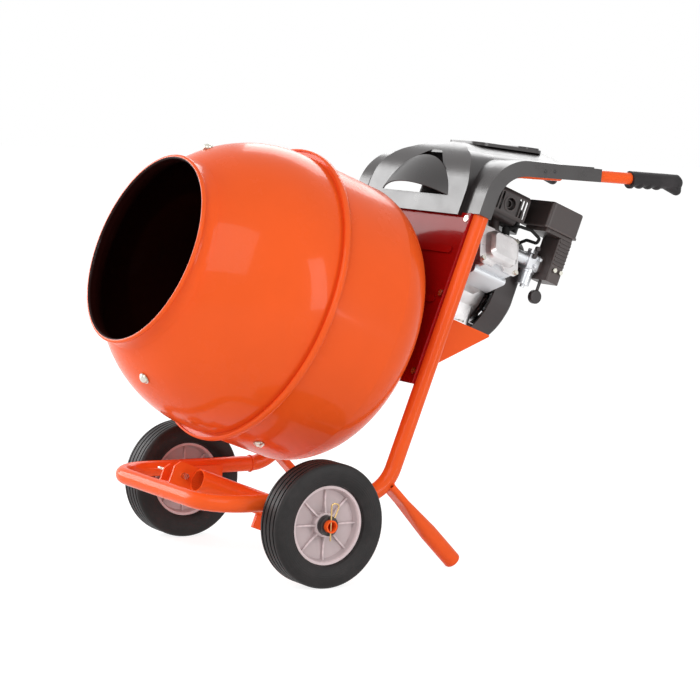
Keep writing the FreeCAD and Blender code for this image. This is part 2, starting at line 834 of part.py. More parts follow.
def make_gearbox_housing():
    """Tub with the front bearing boss, open to the rear where its cover closes it."""
    front = -tube_r
    depth = gearbox_rear() - box_wall - front
    tub = housing_outline(0)
    tub.translate(Y * front)
    tub = tub.extrude(Y * depth)
    room = housing_outline(box_wall)
    room.translate(Y * (front + box_wall))
    tub = tub.cut(room.extrude(Y * depth))
    boss_front = -drum_back + flange_t + 5.0
    boss = rod(V(0, boss_front, drum_s), Y, shaft_r + bearing_wall + 7.0, front - boss_front)
    tub = tub.fuse(boss)
    tub = tub.cut(rod(V(0, boss_front, drum_s), Y, shaft_r + bearing_wall, 16.0))
    tub = tub.cut(rod(V(0, boss_front, drum_s), Y, shaft_r + 1.5, 60.0))
    tub = tub.cut(rod(lay_at + Y * front, Y, lay_shaft_r + 3.0, box_wall))
    return lean_back(tub)


def make_gearbox_cover():
    face = housing_outline(0)
    rear = gearbox_rear()
    face.translate(Y * (rear - box_wall))
    cover = face.extrude(Y * box_wall)
    boss_len = 11.0
    boss = rod(V(0, rear - box_wall - boss_len, drum_s), Y, shaft_r + 11.0, boss_len)
    cover = cover.fuse(boss)
    cover = cover.cut(rod(V(0, rear - box_wall - boss_len, drum_s), Y, shaft_r + 5.0, boss_len))
    cover = cover.cut(rod(lay_at + Y * (rear - box_wall), Y, lay_shaft_r + 3.0, box_wall))
    cover = cover.cut(rod(input_at + Y * (rear - box_wall), Y, input_shaft_r + 4.0, box_wall))
    return lean_back(cover)


def make_gearbox_bearings():
    front = -drum_back + flange_t + 5.0
    rear = gearbox_rear()
    rings = [
        sleeve(V(0, front + 1.0, drum_s), Y, shaft_r + bearing_wall, shaft_r + run_fit, 15.0),
        sleeve(V(0, rear - box_wall - 10.0, drum_s), Y, shaft_r + 5.0, shaft_r + run_fit, 10.0),
        sleeve(lay_at - Y * tube_r, Y, lay_shaft_r + 3.0, lay_shaft_r + run_fit, box_wall),
        sleeve(lay_at + Y * (rear - box_wall), Y, lay_shaft_r + 3.0, lay_shaft_r + run_fit,
               box_wall),
        sleeve(input_at + Y * (rear - box_wall), Y, input_shaft_r + 4.0,
               input_shaft_r + run_fit, box_wall)]
    return lean_back(Part.makeCompound(rings))


# ---- belt drive ----------------------------------------------------------------------------

def pulley_w():
    return belt_w + 5.0


def pulley_y():
    return gearbox_rear() + 3.0


def pulley(pitch_r, hub_r, bore_r):
    """Vee pulley with its groove, a web and a hub."""
    width = pulley_w()
    flange_foot = (width - belt_w) / 2
    rim = pitch_r + belt_t / 2 + 0.5
    floor = pitch_r - belt_t / 2 - seat_gap
    face = outline(
        V(0, 0, bore_r), V(0, 0, rim), V(1.2, 0, rim), V(flange_foot, 0, floor),
        V(width - flange_foot, 0, floor), V(width - 1.2, 0, rim), V(width, 0, rim),
        V(width, 0, bore_r))
    face.rotate(V(0, 0, 0), Z, 90)
    wheel = face.revolve(V(0, 0, 0), Y, 360)
    if floor - 8.0 > hub_r + 6.0:
        wheel = wheel.cut(sleeve(V(0, 0, 0), Y, floor - 6.0, hub_r, 5.0))
        wheel = wheel.cut(sleeve(V(0, width - 5.0, 0), Y, floor - 6.0, hub_r, 5.0))
    return wheel


def make_driven_pulley():
    wheel = pulley(large_pitch_r, 18.0, input_shaft_r)
    ring = (large_pitch_r + 14.0) / 2
    for index in range(5):
        hole = rod(V(ring, 0, 0), Y, 13.0, pulley_w())
        hole.rotate(V(0, 0, 0), Y, 72.0 * index)
        wheel = wheel.cut(hole)
    wheel.translate(input_at + Y * pulley_y())
    return lean_back(wheel)


def make_crank_pulley():
    wheel = pulley(small_pitch_r, 14.0, 9.5)
    wheel.translate(crank_at + Y * pulley_y())
    return lean_back(wheel)


def make_crankshaft():
    """Crankshaft stub with the flywheel that carries the cooling fan's blades."""
    start = pulley_y() - 2.0
    shaft = rod(crank_at + Y * start, Y, 9.5, case_rear + 12.0 - start)
    plate = rod(crank_at + Y * (case_rear + 4.0), Y, 88.0, 8.0)
    whole = shaft.fuse(plate)
    blades = []
    for index in range(12):
        blade = block(58.0, 84.0, case_rear + 11.0, case_rear + 32.0, -1.5, 1.5)
        blade.rotate(V(0, 0, 0), Y, 30.0 * index)
        blade.translate(crank_at)
        blades.append(blade)
    return lean_back(fuse_all([whole] + blades))


def make_belt():
    gap = seat_gap
    inner = hull_of_two(crank_at, small_pitch_r - belt_t / 2, input_at, large_pitch_r - belt_t / 2)
    outer = hull_of_two(crank_at, small_pitch_r + belt_t / 2, input_at, large_pitch_r + belt_t / 2)
    start = pulley_y() + (pulley_w() - belt_w) / 2 + gap
    belt = outer.extrude(Y * (belt_w - 2 * gap)).cut(inner.extrude(Y * belt_w))
    belt.translate(Y * start)
    return lean_back(belt)


# ---- panel and shelf -----------------------------------------------------------------------

panel_front = -tube_r - seat_gap - panel_t
bolt_inset = 12.5
bolt_x = frame_half_w - bolt_inset
bolt_hole_r = 4.3
bolt_rows = (260.0, 430.0, 593.0)
swage_rows = (416.0, 524.0)


def make_panel():
    """Pressed sheet across the uprights, with side lips and two long swages."""
    rear = -tube_r - seat_gap
    sheet = block(-panel_half_w, panel_half_w, panel_front, rear, panel_low, panel_high)
    lip = block(panel_half_w - panel_t, panel_half_w, panel_front - 5.0, panel_front,
                panel_low, panel_high)
    tongue = block(-panel_mid_half, panel_mid_half, panel_front, rear,
                   panel_high - 20.0, panel_mid_high)
    sheet = fuse_all([sheet, lip, mirrored(lip), tongue])
    for row in swage_rows:
        reach = panel_half_w - 34.0
        outer = hull_of_two(V(-reach, 0, row), 8.0, V(reach, 0, row), 8.001)
        outer.translate(Y * (panel_front - 4.0))
        ridge = outer.extrude(Y * 4.0)
        sheet = sheet.fuse(ridge)
        inner = hull_of_two(V(-reach, 0, row), 8.0 - panel_t, V(reach, 0, row), 8.001 - panel_t)
        inner.translate(Y * (panel_front - 4.0 + panel_t))
        sheet = sheet.cut(inner.extrude(Y * 6.0))
    sheet = sheet.cut(rod(V(0, panel_front - 5.0, drum_s), Y, shaft_r + bearing_wall + 8.0, 12.0))
    for row in bolt_rows:
        for side in (-1, 1):
            hole = rod(V(side * bolt_x, panel_front - 5.0, row), Y, bolt_hole_r, 12.0)
            sheet = sheet.cut(hole)
    return lean_back(sheet)


def hex_bolt(head_at, toward, across, head_t, shank_r, shank_len):
    """Hexagon bolt: the head's underside is at head_at and the shank runs along toward."""
    points = []
    side_r = across / math.sqrt(3)
    for index in range(7):
        angle = math.pi / 3 * index
        points.append(V(side_r * math.cos(angle), side_r * math.sin(angle), 0))
    head = Part.Face(Part.makePolygon(points)).extrude(Z * -head_t)
    shank = Part.makeCylinder(shank_r, shank_len)
    bolt = head.fuse(shank)
    bolt.Placement = FreeCAD.Placement(head_at, FreeCAD.Rotation(Z, toward))
    return bolt


def make_panel_bolts():
    bolts = []
    for row in bolt_rows:
        for side in (-1, 1):
            bolts.append(hex_bolt(V(side * bolt_x, panel_front, row), Y, 13.0, 5.5, 4.0, 16.0))
    return lean_back(Part.makeCompound(bolts))


def make_shelf():
    """Folded engine shelf with triangular side webs, notched round the gearbox and belt."""
    front = -tube_r
    top = shelf_s
    plate = block(-shelf_half_w, shelf_half_w, front, shelf_reach, top - shelf_t, top)
    window = block(lay_x - 66.0, 104.0, front - 1, engine_face - 3.0, top - 9, top + 9)
    plate = plate.cut(window)
    web = outline(V(shelf_half_w - shelf_t, front, shelf_web_low),
                  V(shelf_half_w - shelf_t, front, top),
                  V(shelf_half_w - shelf_t, shelf_reach, top),
                  V(shelf_half_w - shelf_t, shelf_reach, top - shelf_t))
    web = web.extrude(X * shelf_t)
    tab = block(shelf_half_w - shelf_t, frame_half_w - tube_r - 1.0, front, front + shelf_t,
                shelf_web_low, top)
    plate = fuse_all([plate, web, tab, mirrored(web), mirrored(tab)])
    for at_x, at_y in engine_bolt_places():
        plate = plate.cut(rod(V(at_x, at_y, top - 20), Z, 4.3, 40))
    return lean_back(plate)


# ---- engine --------------------------------------------------------------------------------

cover_bolt_across = 37.0
cover_bolt_along = 46.0


def engine_bolt_places():
    return [(x, y) for x in (-81.0, 81.0) for y in (72.0, 138.0)]


def cylinder_frame(shape):
    """Turns a shape built along +Z from the crankshaft to the cylinder's lean, and places it."""
    shape.rotate(V(0, 0, 0), Y, 90.0 - cylinder_lean)
    shape.translate(crank_at)
    return shape


def rounded_block(x0, x1, y0, y1, z0, z1, radius, direction):
    shape = block(x0, x1, y0, y1, z0, z1)
    return shape.makeFillet(radius, edges_along(shape, direction))


def make_crankcase():
    foot = rounded_block(-95.0, 95.0, 60.0, 148.0, shelf_s, shelf_s + 14.0, 8.0, Z)
    waist = rounded_block(-72.0, 72.0, engine_face + 4.0, case_rear, shelf_s + 2.0,
                          crank_at.z, 14.0, Z)
    drum = rod(crank_at + Y * engine_face, Y, 84.0, case_rear - engine_face)
    boss = rod(crank_at + Y * (engine_face - 5.0), Y, 30.0, 6.0)
    deck = block(-52.0, 52.0, cylinder_behind - 52.0, cylinder_behind + 33.0, 0, 92.0)
    deck = cylinder_frame(deck)
    case = fuse_all([foot, waist, drum, boss, deck])
    case = case.cut(rod(crank_at + Y * (engine_face - 9), Y, 9.5 + 0.6, case_rear))
    case = case.cut(rod(crank_at + Y * (engine_face + 8), Y, 70.0, case_rear - engine_face - 16))
    for at_x, at_y in engine_bolt_places():
        case = case.cut(rod(V(at_x, at_y, shelf_s - 5), Z, 4.3, 30))
    return lean_back(case)


def make_cylinder():
    """Finned barrel and head along the leaning cylinder axis, with a plain wall underneath."""
    near = cylinder_behind - 44.0
    far = cylinder_behind + 44.0
    core = rod(V(0, cylinder_behind, 92.0), Z, 42.0, 84.0)
    wall = rounded_block(40.0, 56.0, near, far, 92.0, 156.0, 7.0, Y)
    whole = [core, wall]
    for index in range(7):
        low = 95.0 + 8.0 * index
        whole.append(rounded_block(-48.0, 50.0, near, far, low, low + 2.6, 8.0, Z))
    head = rounded_block(-46.0, 46.0, near, far, 152.0, 176.0, 10.0, Z)
    for index in range(2):
        low = 157.0 + 8.0 * index
        head = head.cut(block(-60.0, -30.0, 0, 300, low, low + 4.5))
    return lean_back(cylinder_frame(fuse_all(whole + [head])))


def make_valve_cover():
    """Pressed rocker cover: a bolted flange and a boxy dome with a sloping top."""
    low = 176.3
    half_y = cover_bolt_along + 8.0
    flange = rounded_block(-44.0, 44.0, cylinder_behind - half_y, cylinder_behind + half_y,
                           low, low + 5.0, 12.0, Z)
    for side in (-1, 1):
        for end in (-1, 1):
            at = V(side * cover_bolt_across, cylinder_behind + end * cover_bolt_along, low - 1)
            flange = flange.cut(rod(at, Z, 3.3, 8.0))
        waist = rod(V(side * 52.0, cylinder_behind, low - 1), Z, 18.0, 8.0)
        flange = flange.cut(waist)

    def ring(half_x, half_y, height, radius):
        shape = rounded_block(-half_x, half_x, cylinder_behind - half_y,
                              cylinder_behind + half_y, height, height + 1.0, radius, Z)
        lowest = min(shape.Faces, key=lambda face: face.CenterOfMass.z)
        return lowest.OuterWire

    skirt = Part.makeLoft([ring(33.0, 39.0, low + 5.0, 15.0), ring(31.0, 37.0, low + 19.0, 14.0)],
                          True, True)
    crown = Part.makeLoft([ring(31.0, 37.0, low + 19.0, 14.0), ring(24.0, 30.0, low + 27.0, 10.0)],
                          True, True)
    return lean_back(cylinder_frame(fuse_all([flange, skirt, crown])))


def make_cover_bolts():
    bolts = []
    for side in (-1, 1):
        for end in (-1, 1):
            at = V(side * cover_bolt_across, cylinder_behind + end * cover_bolt_along, 181.6)
            bolts.append(hex_bolt(at, V(0, 0, -1), 10.0, 5.0, 3.0, 5.0))
    covers = cylinder_frame(Part.makeCompound(bolts))
    box_bolts = [hex_bolt(at, -X, 9.0, 3.5, 2.5, 8.0) for at in air_box_bolt_places()]
    feet = [hex_bolt(V(x, y, shelf_s + 14.0), V(0, 0, -1), 12.0, 5.5, 4.0, 24.0)
            for x, y in engine_bolt_places()]
    return lean_back(Part.makeCompound([covers] + feet + box_bolts))


def make_fan_cover():
    """Blower housing round the flywheel, with its duct towards the cylinder."""
    top = crank_at + V(fan_duct_x, 0, fan_duct_up)

    def room(inset):
        face = hull_of_two(crank_at, fan_cover_r - inset, top, fan_duct_r - inset)
        face.translate(Y * (case_rear + (0 if inset == 0 else -1)))
        return face.extrude(Y * (fan_rear - case_rear - inset + (0 if inset == 0 else 1)))

    outside = room(0)
    rim = [edge for edge in outside.Edges
           if edge.BoundBox.YLength < 0.01 and abs(edge.BoundBox.YMin - fan_rear) < 0.01]
    outside = outside.makeFillet(8.0, rim)
    cover = outside.cut(room(3.0))
    floor = block(-200, 200, case_rear - 5, fan_rear + 5, shelf_s - 40, shelf_s + 3.0)
    cover = cover.cut(floor)
    cover = cover.cut(rod(crank_at + Y * (fan_rear - 10), Y, 62.0, 20))
    return lean_back(cover)


def make_recoil_cover():
    """Starter cover: a dished pressing with radial air slots, and the rope's grip on it."""
    face = outline(V(66.0, 0, 0), V(92.0, 0, 0), V(92.0, 3.0, 0), V(84.0, 5.0, 0),
                   V(76.0, 26.0, 0), V(56.0, recoil_rear - fan_rear, 0),
                   V(0, recoil_rear - fan_rear, 0), V(0, recoil_rear - fan_rear - 2.5, 0),
                   V(54.5, recoil_rear - fan_rear - 2.5, 0), V(73.5, 24.0, 0),
                   V(81.0, 2.5, 0), V(66.0, 2.5, 0))
    cover = face.revolve(V(0, 0, 0), Y, 360)
    for index in range(14):
        slot = rounded_block(26.0, 50.0, 10.0, 60.0, -3.0, 3.0, 2.9, Y)
        slot.rotate(V(0, 0, 0), Y, 360.0 / 14 * index)
        cover = cover.cut(slot)
    stem = rod(V(-66.0, 12.0, 46.0), Y, 7.0, 18.0)
    grip = rounded_block(-92.0, -40.0, 28.0, 44.0, 37.0, 55.0, 7.0, X)
    cover = cover.fuse(stem).fuse(grip)
    cover.translate(crank_at + Y * fan_rear)
    return lean_back(cover)


muffler_y = (66.0, 148.0)
muffler_mid = 109.0


def make_muffler():
    body = rounded_block(64.0, 140.0, muffler_y[0], muffler_y[1], muffler_low, 694.0, 16.0, Y)
    pipe = rod(V(161.0, 110.0, 46.3), Z, 12.0, 40.0).fuse(rod(V(161.0, 110.0, 46.3), Z, 15.0, 5.0))
    pipe.rotate(V(0, 0, 0), Y, -cylinder_lean)
    pipe.translate(crank_at)
    outlet = rod(V(128.0, muffler_mid, 672.0), X, 9.0, 18.0)
    outlet = outlet.cut(rod(V(136.0, muffler_mid, 672.0), X, 7.0, 12.0))
    posts = [rod(V(x, y, 690.0), Z, 5.0, 11.2) for x in (85.0, 120.0) for y in (86.0, 128.0)]
    return lean_back(fuse_all([body, pipe, outlet] + posts))


def make_muffler_guard():
    """Slotted heat guard over the outer side and top of the muffler."""
    outer = rounded_block(58.0, 152.0, 58.0, 158.0, 640.0, 704.0, 12.0, Y)
    inner = rounded_block(50.0, 149.5, 55.5, 161.0, 600.0, 701.5, 9.5, Y)
    guard = outer.cut(inner)
    ring = sleeve(V(148.0, muffler_mid, 672.0), X, 17.0, 13.0, 5.0)
    guard = guard.fuse(ring).cut(rod(V(140.0, muffler_mid, 672.0), X, 13.0, 30.0))
    for offset in (-42.0, -33.0, -24.0, 24.0, 33.0, 42.0):
        middle = muffler_mid + offset
        slot = rounded_block(140.0, 170.0, middle - 2.6, middle + 2.6, 652.0, 692.0, 2.5, X)
        guard = guard.cut(slot)
    for offset in (-33.0, -11.0, 11.0, 33.0):
        middle = muffler_mid + offset
        slot = rounded_block(75.0, 135.0, middle - 3.5, middle + 3.5, 695.0, 715.0, 3.4, Z)
        guard = guard.cut(slot)
    return lean_back(guard)


def make_air_cleaner():
    """Cleaner lid: a boxy moulding with rounded edges and a shallow rim round its foot."""
    lid = rounded_block(98.0, 188.0, 190.0, 280.0, 658.0, 712.0, 9.0, Z)
    top = [edge for edge in lid.Edges if abs(edge.BoundBox.ZMin - 712.0) < 0.01]
    lid = lid.makeFillet(4.0, top)
    foot = rounded_block(96.5, 189.5, 188.5, 281.5, 655.0, 659.5, 9.0, Z)
    return lean_back(lid.fuse(foot))


def air_box_bolt_places():
    return [V(box_face_x + 2.3, 254.0, 578.0), V(box_face_x + 2.3, 271.0, 578.0)]


def make_air_box():
    """Cleaner base and its ribbed lower chamber."""
    top = rounded_block(102.0, 182.0, 200.0, 278.0, 647.0, 654.7, 8.0, Z)
    chamber = rounded_block(118.0, box_face_x, 243.0, 279.0, 551.0, 648.0, 5.0, Z)
    neck = block(carb_x - 17.0, carb_x + 17.0, 235.0, 243.5, carb_s - 16.0, carb_s + 17.0)
    ribs = [block(box_face_x - 1.0, box_face_x + 2.0, 246.0, 276.0, 590.0 + 8.0 * i,
                  592.4 + 8.0 * i) for i in range(7)]
    whole = fuse_all([top, chamber, neck] + ribs)
    for at in air_box_bolt_places():
        whole = whole.cut(rod(at + X * 2, -X, 2.8, 14.0))
    return lean_back(whole)


def make_carburettor():
    """Intake pipe, throttle body, float bowl and a capped slide chamber."""
    head_rear = cylinder_behind + 44.0 + seat_gap
    flange = rounded_block(-40.0, -6.0, head_rear, head_rear + 7.0, 142.0, 175.5, 8.0, Y)
    flange = cylinder_frame(flange)
    pipe = rod(V(carb_x, head_rear, carb_s), Y, 14.0, 60.0)
    body_rear = 243.0 - 8.0 - seat_gap
    body = rounded_block(carb_x - 17.0, carb_x + 17.0, 204.0, body_rear,
                         carb_s - 20.0, carb_s + 17.0, 6.0, Y)
    rim = rod(V(carb_x, carb_y - 4.0, carb_s - 24.0), Z, 16.0, 6.0)
    bowl = rod(V(carb_x, carb_y - 4.0, carb_s - 52.0), Z, 14.0, 30.0)
    drain = rod(V(carb_x, carb_y - 4.0, carb_s - 58.0), Z, 5.0, 8.0)
    cap = rod(V(carb_x, carb_y - 6.0, carb_s + 16.0), Z, 11.0, 10.0)
    screw = rod(V(carb_x + 16.0, carb_y + 3.0, carb_s + 8.0), X, 3.5, 9.0)
    stud = rod(V(carb_x + 16.0, carb_y - 2.0, carb_s - 8.0), X, 4.5, 6.0)
    return lean_back(fuse_all([flange, pipe, body, rim, bowl, drain, cap, screw, stud]))


def make_choke_lever():
    """Choke lever on a stub shaft at the carburettor's outer side."""
    at = V(carb_x + 17.0 + seat_gap, 214.0, carb_s + 10.0)
    hub = rod(at, X, 5.0, 4.0)
    arm = block(at.x + 1.0, at.x + 3.0, at.y - 3.5, at.y + 3.5, at.z, at.z + 17.0)
    tip = rod(V(at.x, at.y, at.z + 18.0), X, 5.0, 7.0)
    return lean_back(fuse_all([hub, arm, tip]))


def make_fuel_knob():
    """Round fuel tap knob below the air chamber."""
    stem = rod(V(150.0, 252.0, 520.0), Z, 3.5, 551.0 - seat_gap - 520.0)
    knob = rod(V(143.0, 252.0, 514.0), X, 15.0, 13.0)
    knob = knob.makeFillet(3.0, [edge for edge in knob.Edges if edge.BoundBox.XLength < 0.01])
    return lean_back(knob.fuse(stem))


def make_ignition_lead():
    """Spark plug, its cap and the lead that loops back to the coil in the blower housing."""
    head = crank_at + V(165.0 * math.cos(cylinder_lean * RAD), 142.0,
                        165.0 * math.sin(cylinder_lean * RAD))
    out = V(-math.sin(cylinder_lean * RAD), 0, math.cos(cylinder_lean * RAD))
    seat = head + out * 46.3
    plug = rod(seat, out, 7.0, 9.0)
    cap = rod(seat + out * 8.0, out, 8.5, 15.0)
    start = seat + out * 18.0
    points = [start, V(138.0, 162.0, 640.0), V(150.0, 186.0, 641.0), V(152.0, 212.0, 632.0),
              V(142.0, 216.0, 622.0), V(118.0, 206.0, 624.0),
              crank_at + V(fan_duct_x + 50.5, 200.0, fan_duct_up + 50.5)]
    lead = swept(points, 7.0, 3.5)
    return lean_back(fuse_all([plug, cap, lead]))


def make_fuel_tank():
    tank = rounded_block(-150.0, 52.0, 74.0, 236.0, 640.0, 696.0, 22.0, Z)
    rim = [edge for edge in tank.Edges if abs(edge.CenterOfMass.z - 696.0) < 0.01]
    tank = tank.makeFillet(12.0, rim)
    neck = rod(V(-50.0, 155.0, 695.0), Z, 20.0, 8.0)
    posts = [block(x, x + 22.0, y, y + 10.0, 575.0, 640.5) for x in (-46.0, -6.0)
             for y in (92.0, 150.0)]
    return lean_back(fuse_all([tank, neck] + posts).cut(
        rod(crank_at + Y * engine_face, Y, 84.0 + 0.3, 120)))


def make_fuel_cap():
    cap = rod(V(-50.0, 155.0, 703.3), Z, 26.0, 16.0)
    for index in range(12):
        notch = rod(V(-50.0 + 27.0, 155.0, 703.0), Z, 2.6, 12.0)
        notch.rotate(V(-50.0, 155.0, 0), Z, 30.0 * index)
        cap = cap.cut(notch)
    return lean_back(cap)


# ---- hood ----------------------------------------------------------------------------------

def up_dir():
    return V(0, math.sin(lean * RAD), math.cos(lean * RAD))


def ahead_dir():
    return V(0, -math.cos(lean * RAD), math.sin(lean * RAD))


def run_dir():
    return V(0, math.cos(run_drop * RAD), -math.sin(run_drop * RAD))


def run_normal():
    return V(0, math.sin(run_drop * RAD), math.cos(run_drop * RAD))


hood_run = 262.0
brow_r = 105.0
crown_z = 884.6
crown_fall = 4.9
bulge_half_w = 178.0


def frame_corner():
    return V(0, corner_y, rail_z)


def offset_line(offset, low, run_to, end_offset=None):
    """The frame's path over the top bend, moved outward by offset: its four key points."""
    base = frame_corner()
    top = base + up_dir() * upright_len
    turn = (90.0 - lean + run_drop) / 2 * RAD
    set_back = top_bend_r * math.tan(turn)
    first = top - up_dir() * set_back
    second = top + run_dir() * set_back
    centre = first - ahead_dir() * top_bend_r
    outward = (top - centre).normalize()
    last = end_offset if end_offset is not None else offset
    return (base + up_dir() * low + ahead_dir() * offset, first + ahead_dir() * offset,
            centre + outward * (top_bend_r + offset), second + run_normal() * offset,
            top + run_dir() * run_to + run_normal() * last)


def band(outer, inner, low, run_to, end_outer=None):
    a = offset_line(outer, low, run_to, end_outer)
    b = offset_line(inner, low, run_to)
    return outline(a[0], a[1], (a[2], a[3]), a[4], b[4], b[3], (b[2], b[1]), b[0])


def crown_face(inset, low, under):
    """Side profile of the hood's raised middle, over the frame's path moved in by under."""
    foot = frame_corner() + up_dir() * low + ahead_dir() * (face_ahead - inset)
    fall = crown_fall * RAD
    back = V(0, math.cos(fall), -math.sin(fall))
    above = V(0, math.sin(fall), math.cos(fall))
    anchor = V(0, axle_y + 421.0, crown_z) - above * inset
    # the brow's corner, where the face line meets the crown line
    rise = (anchor - foot).dot(above) / up_dir().dot(above)
    corner = foot + up_dir() * rise
    turn = (90.0 - lean + crown_fall) / 2 * RAD
    radius = brow_r - inset
    set_back = radius * math.tan(turn)
    first = corner - up_dir() * set_back
    second = corner + back * set_back
    centre = first - ahead_dir() * radius
    middle = centre + (corner - centre).normalize() * radius
    path = offset_line(under, low, hood_run)
    end = path[4]
    reach = (end.y - inset - second.y) / back.y
    rear = second + back * reach
    return outline(foot, first, (middle, second), rear, V(0, rear.y, path[4].z), path[3],
                   (path[2], path[1]), path[0])


def shoulder_solid(inset):
    """Front outline of the raised middle, run back along the crown."""
    half = bulge_half_w - inset
    top = crown_z - inset
    y = axle_y + 421.0
    face = outline(
        V(-half, y, top - 330.0), V(-half, y, top - 105.0),
        (V(-half + 22.0, y, top - 50.0), V(-half + 73.0, y, top - 20.0)),
        (V(0, y, top), V(half - 73.0, y, top - 20.0)),
        (V(half - 22.0, y, top - 50.0), V(half, y, top - 105.0)),
        V(half, y, top - 330.0))
    fall = crown_fall * RAD
    back = V(0, math.cos(fall), -math.sin(fall))
    face.translate(back * -160.0)
    return face.extrude(back * 520.0)


def make_hood():
    """Moulded hood: channels over both frame tubes, a deck between them, a raised middle and
    a hooded air outlet in its face."""
    low = hood_low
    side_out = tube_r + seat_gap + hood_wall
    channel = band(side_out, -12.5, low, hood_run, side_out - 5.0)
    channel = channel.extrude(X * (2 * side_out))
    channel.translate(X * (frame_half_w - side_out))
    deck = band(side_out - 2.0, side_out - 2.0 - hood_wall, low, hood_run - 2.0)
    deck = deck.extrude(X * (2 * frame_half_w - 8.0))
    deck.translate(X * (-frame_half_w + 4.0))

    def middle(inset, low_s, under):
        face = crown_face(inset, low_s, under)
        face.translate(X * -(bulge_half_w + 5.0))
        slab = face.extrude(X * (2 * bulge_half_w + 10.0))
        return slab.common(shoulder_solid(inset))

    solid = middle(0, low - 8.0, 0.0)
    hollow = middle(hood_wall, low - 60.0, -60.0)
    hood = solid.fuse(deck).fuse(channel).fuse(mirrored(channel))
    hood = hood.cut(hollow)
    # room for the frame tubes and, past their ends, the handle tubes
    for side in (-1, 1):
        corner, top, end, rear = upright_points(side)
        start = corner + up_dir() * (low - 30.0)
        room = swept([start, top, end + rear * 4.0], top_bend_r, tube_r + seat_gap)
        hood = hood.cut(room)
        hood = hood.cut(rod(end, rear, handle_d / 2 + seat_gap, 200.0))
    # notch round the top edge of the drive panel
    notch = block(-bulge_half_w - 2.0, bulge_half_w + 2.0, panel_front - seat_gap, 0.0,
                  low - 20.0, low)
    hood = hood.cut(lean_back(notch))
    # hooded outlet
    scoop_r = 220.0
    scoop_back = 178.0
    scoop_s = 593.0
    lip_s = 637.0
    centre = frame_corner() + up_dir() * scoop_s + ahead_dir() * (face_ahead - scoop_back)
    dome = Part.makeSphere(scoop_r, centre)
    inner = Part.makeSphere(scoop_r - hood_wall, centre)
    lip_at = V(0, -face_ahead, lip_s)
    keep = Part.makeBox(400, 120, 300, V(-200, -100, 0))
    keep.rotate(V(0, 0, 0), X, -20)
    keep.translate(lip_at)
    keep = lean_back(keep)
    ahead = Part.makeBox(400, 90, 300, V(-200, -face_ahead - 89.9, lip_s - 60))
    ahead = lean_back(ahead)
    hood = hood.fuse(dome.common(keep).common(ahead))
    through = Part.makeBox(400, 100, 300, V(-200, -face_ahead - 80, lip_s - 60))
    through = lean_back(through)
    hood = hood.cut(inner.common(keep).common(through))
    # splash wall behind the outlet
    splash = block(-bulge_half_w, bulge_half_w, splash_behind, splash_behind + hood_wall,
                   lip_s - splash_drop, lip_s + scoop_r)
    hood = hood.fuse(lean_back(splash).common(solid))
    # raised pad with a finger lip on the crown
    fall = crown_fall * RAD
    back = V(0, math.cos(fall), -math.sin(fall))
    above = V(0, math.sin(fall), math.cos(fall))
    pad = rounded_block(-60.0, 60.0, 0, 184.0, -12.0, 4.0, 26.0, Z)
    tab = rounded_block(-48.0, 48.0, 128.0, 182.0, 0.0, 8.0, 16.0, Z)
    pad = pad.fuse(tab)
    pad.rotate(V(0, 0, 0), X, -crown_fall)
    pad.translate(V(0, axle_y + 421.0, crown_z) + back * 77.0)
    pad = pad.common(crown_room())
    return largest(hood.fuse(pad).removeSplitter())


def crown_room():
    """Everything above the hood's inner skin, which keeps the pad out of the hollow."""
    fall = crown_fall * RAD
    slab = Part.makeBox(400, 500, 60, V(-200, -100, -hood_wall))
    slab.rotate(V(0, 0, 0), X, -crown_fall)
    slab.translate(V(0, axle_y + 421.0, crown_z))
    return slab


# ---- handles -------------------------------------------------------------------------------

def make_handle(side):
    corner, top, end, rear = upright_points(side)
    start = end - rear * handle_lap
    return sleeve(start, rear, handle_d / 2, handle_d / 2 - handle_wall,
                  handle_lap + handle_out - 8.0)


def make_grip(side):
    """Rubber grip with a front lip, finger waves below and a butt that hooks downward."""
    corner, top, end, rear = upright_points(side)
    r = grip_d / 2
    body = rod(V(0, 0, 0), Y, r, grip_len - 14.0)
    lip = rod(V(0, 0, -grip_lip), Y, r + 1.5, 5.0)
    waves = [Part.makeSphere(r - 2.0, V(0, 28.0 + 25.0 * index, -6.0)) for index in range(3)]
    heel = V(0, grip_len - r, -1.5)
    hook = V(0, grip_len - grip_hook_r - 1.0, -grip_hook)
    swell = rod(V(0, grip_len - 52.0, -4.0), V(0, 39.0, -(grip_hook - 4.0)),
                grip_hook_r, math.hypot(39.0, grip_hook - 4.0))
    butt = [Part.makeSphere(r, heel), Part.makeSphere(grip_hook_r, hook), swell,
            Part.makeCone(r - 1.0, grip_hook_r, (hook - heel).Length, heel, hook - heel)]
    grip = fuse_all([body, lip] + waves + butt)
    bore = rod(V(0, -1, 0), Y, handle_d / 2 + 0.02, grip_len - 8.0 + 1.1)
    grip = grip.cut(bore)
    grip.rotate(V(0, 0, 0), X, -run_drop)
    grip.translate(end + rear * (handle_out - grip_len))
    return grip


# ---- stand lock ----------------------------------------------------------------------------

lock_pin_r = 6.0
cheek_x = -24.3
cheek_t = 4.5
ear_x = -66.0


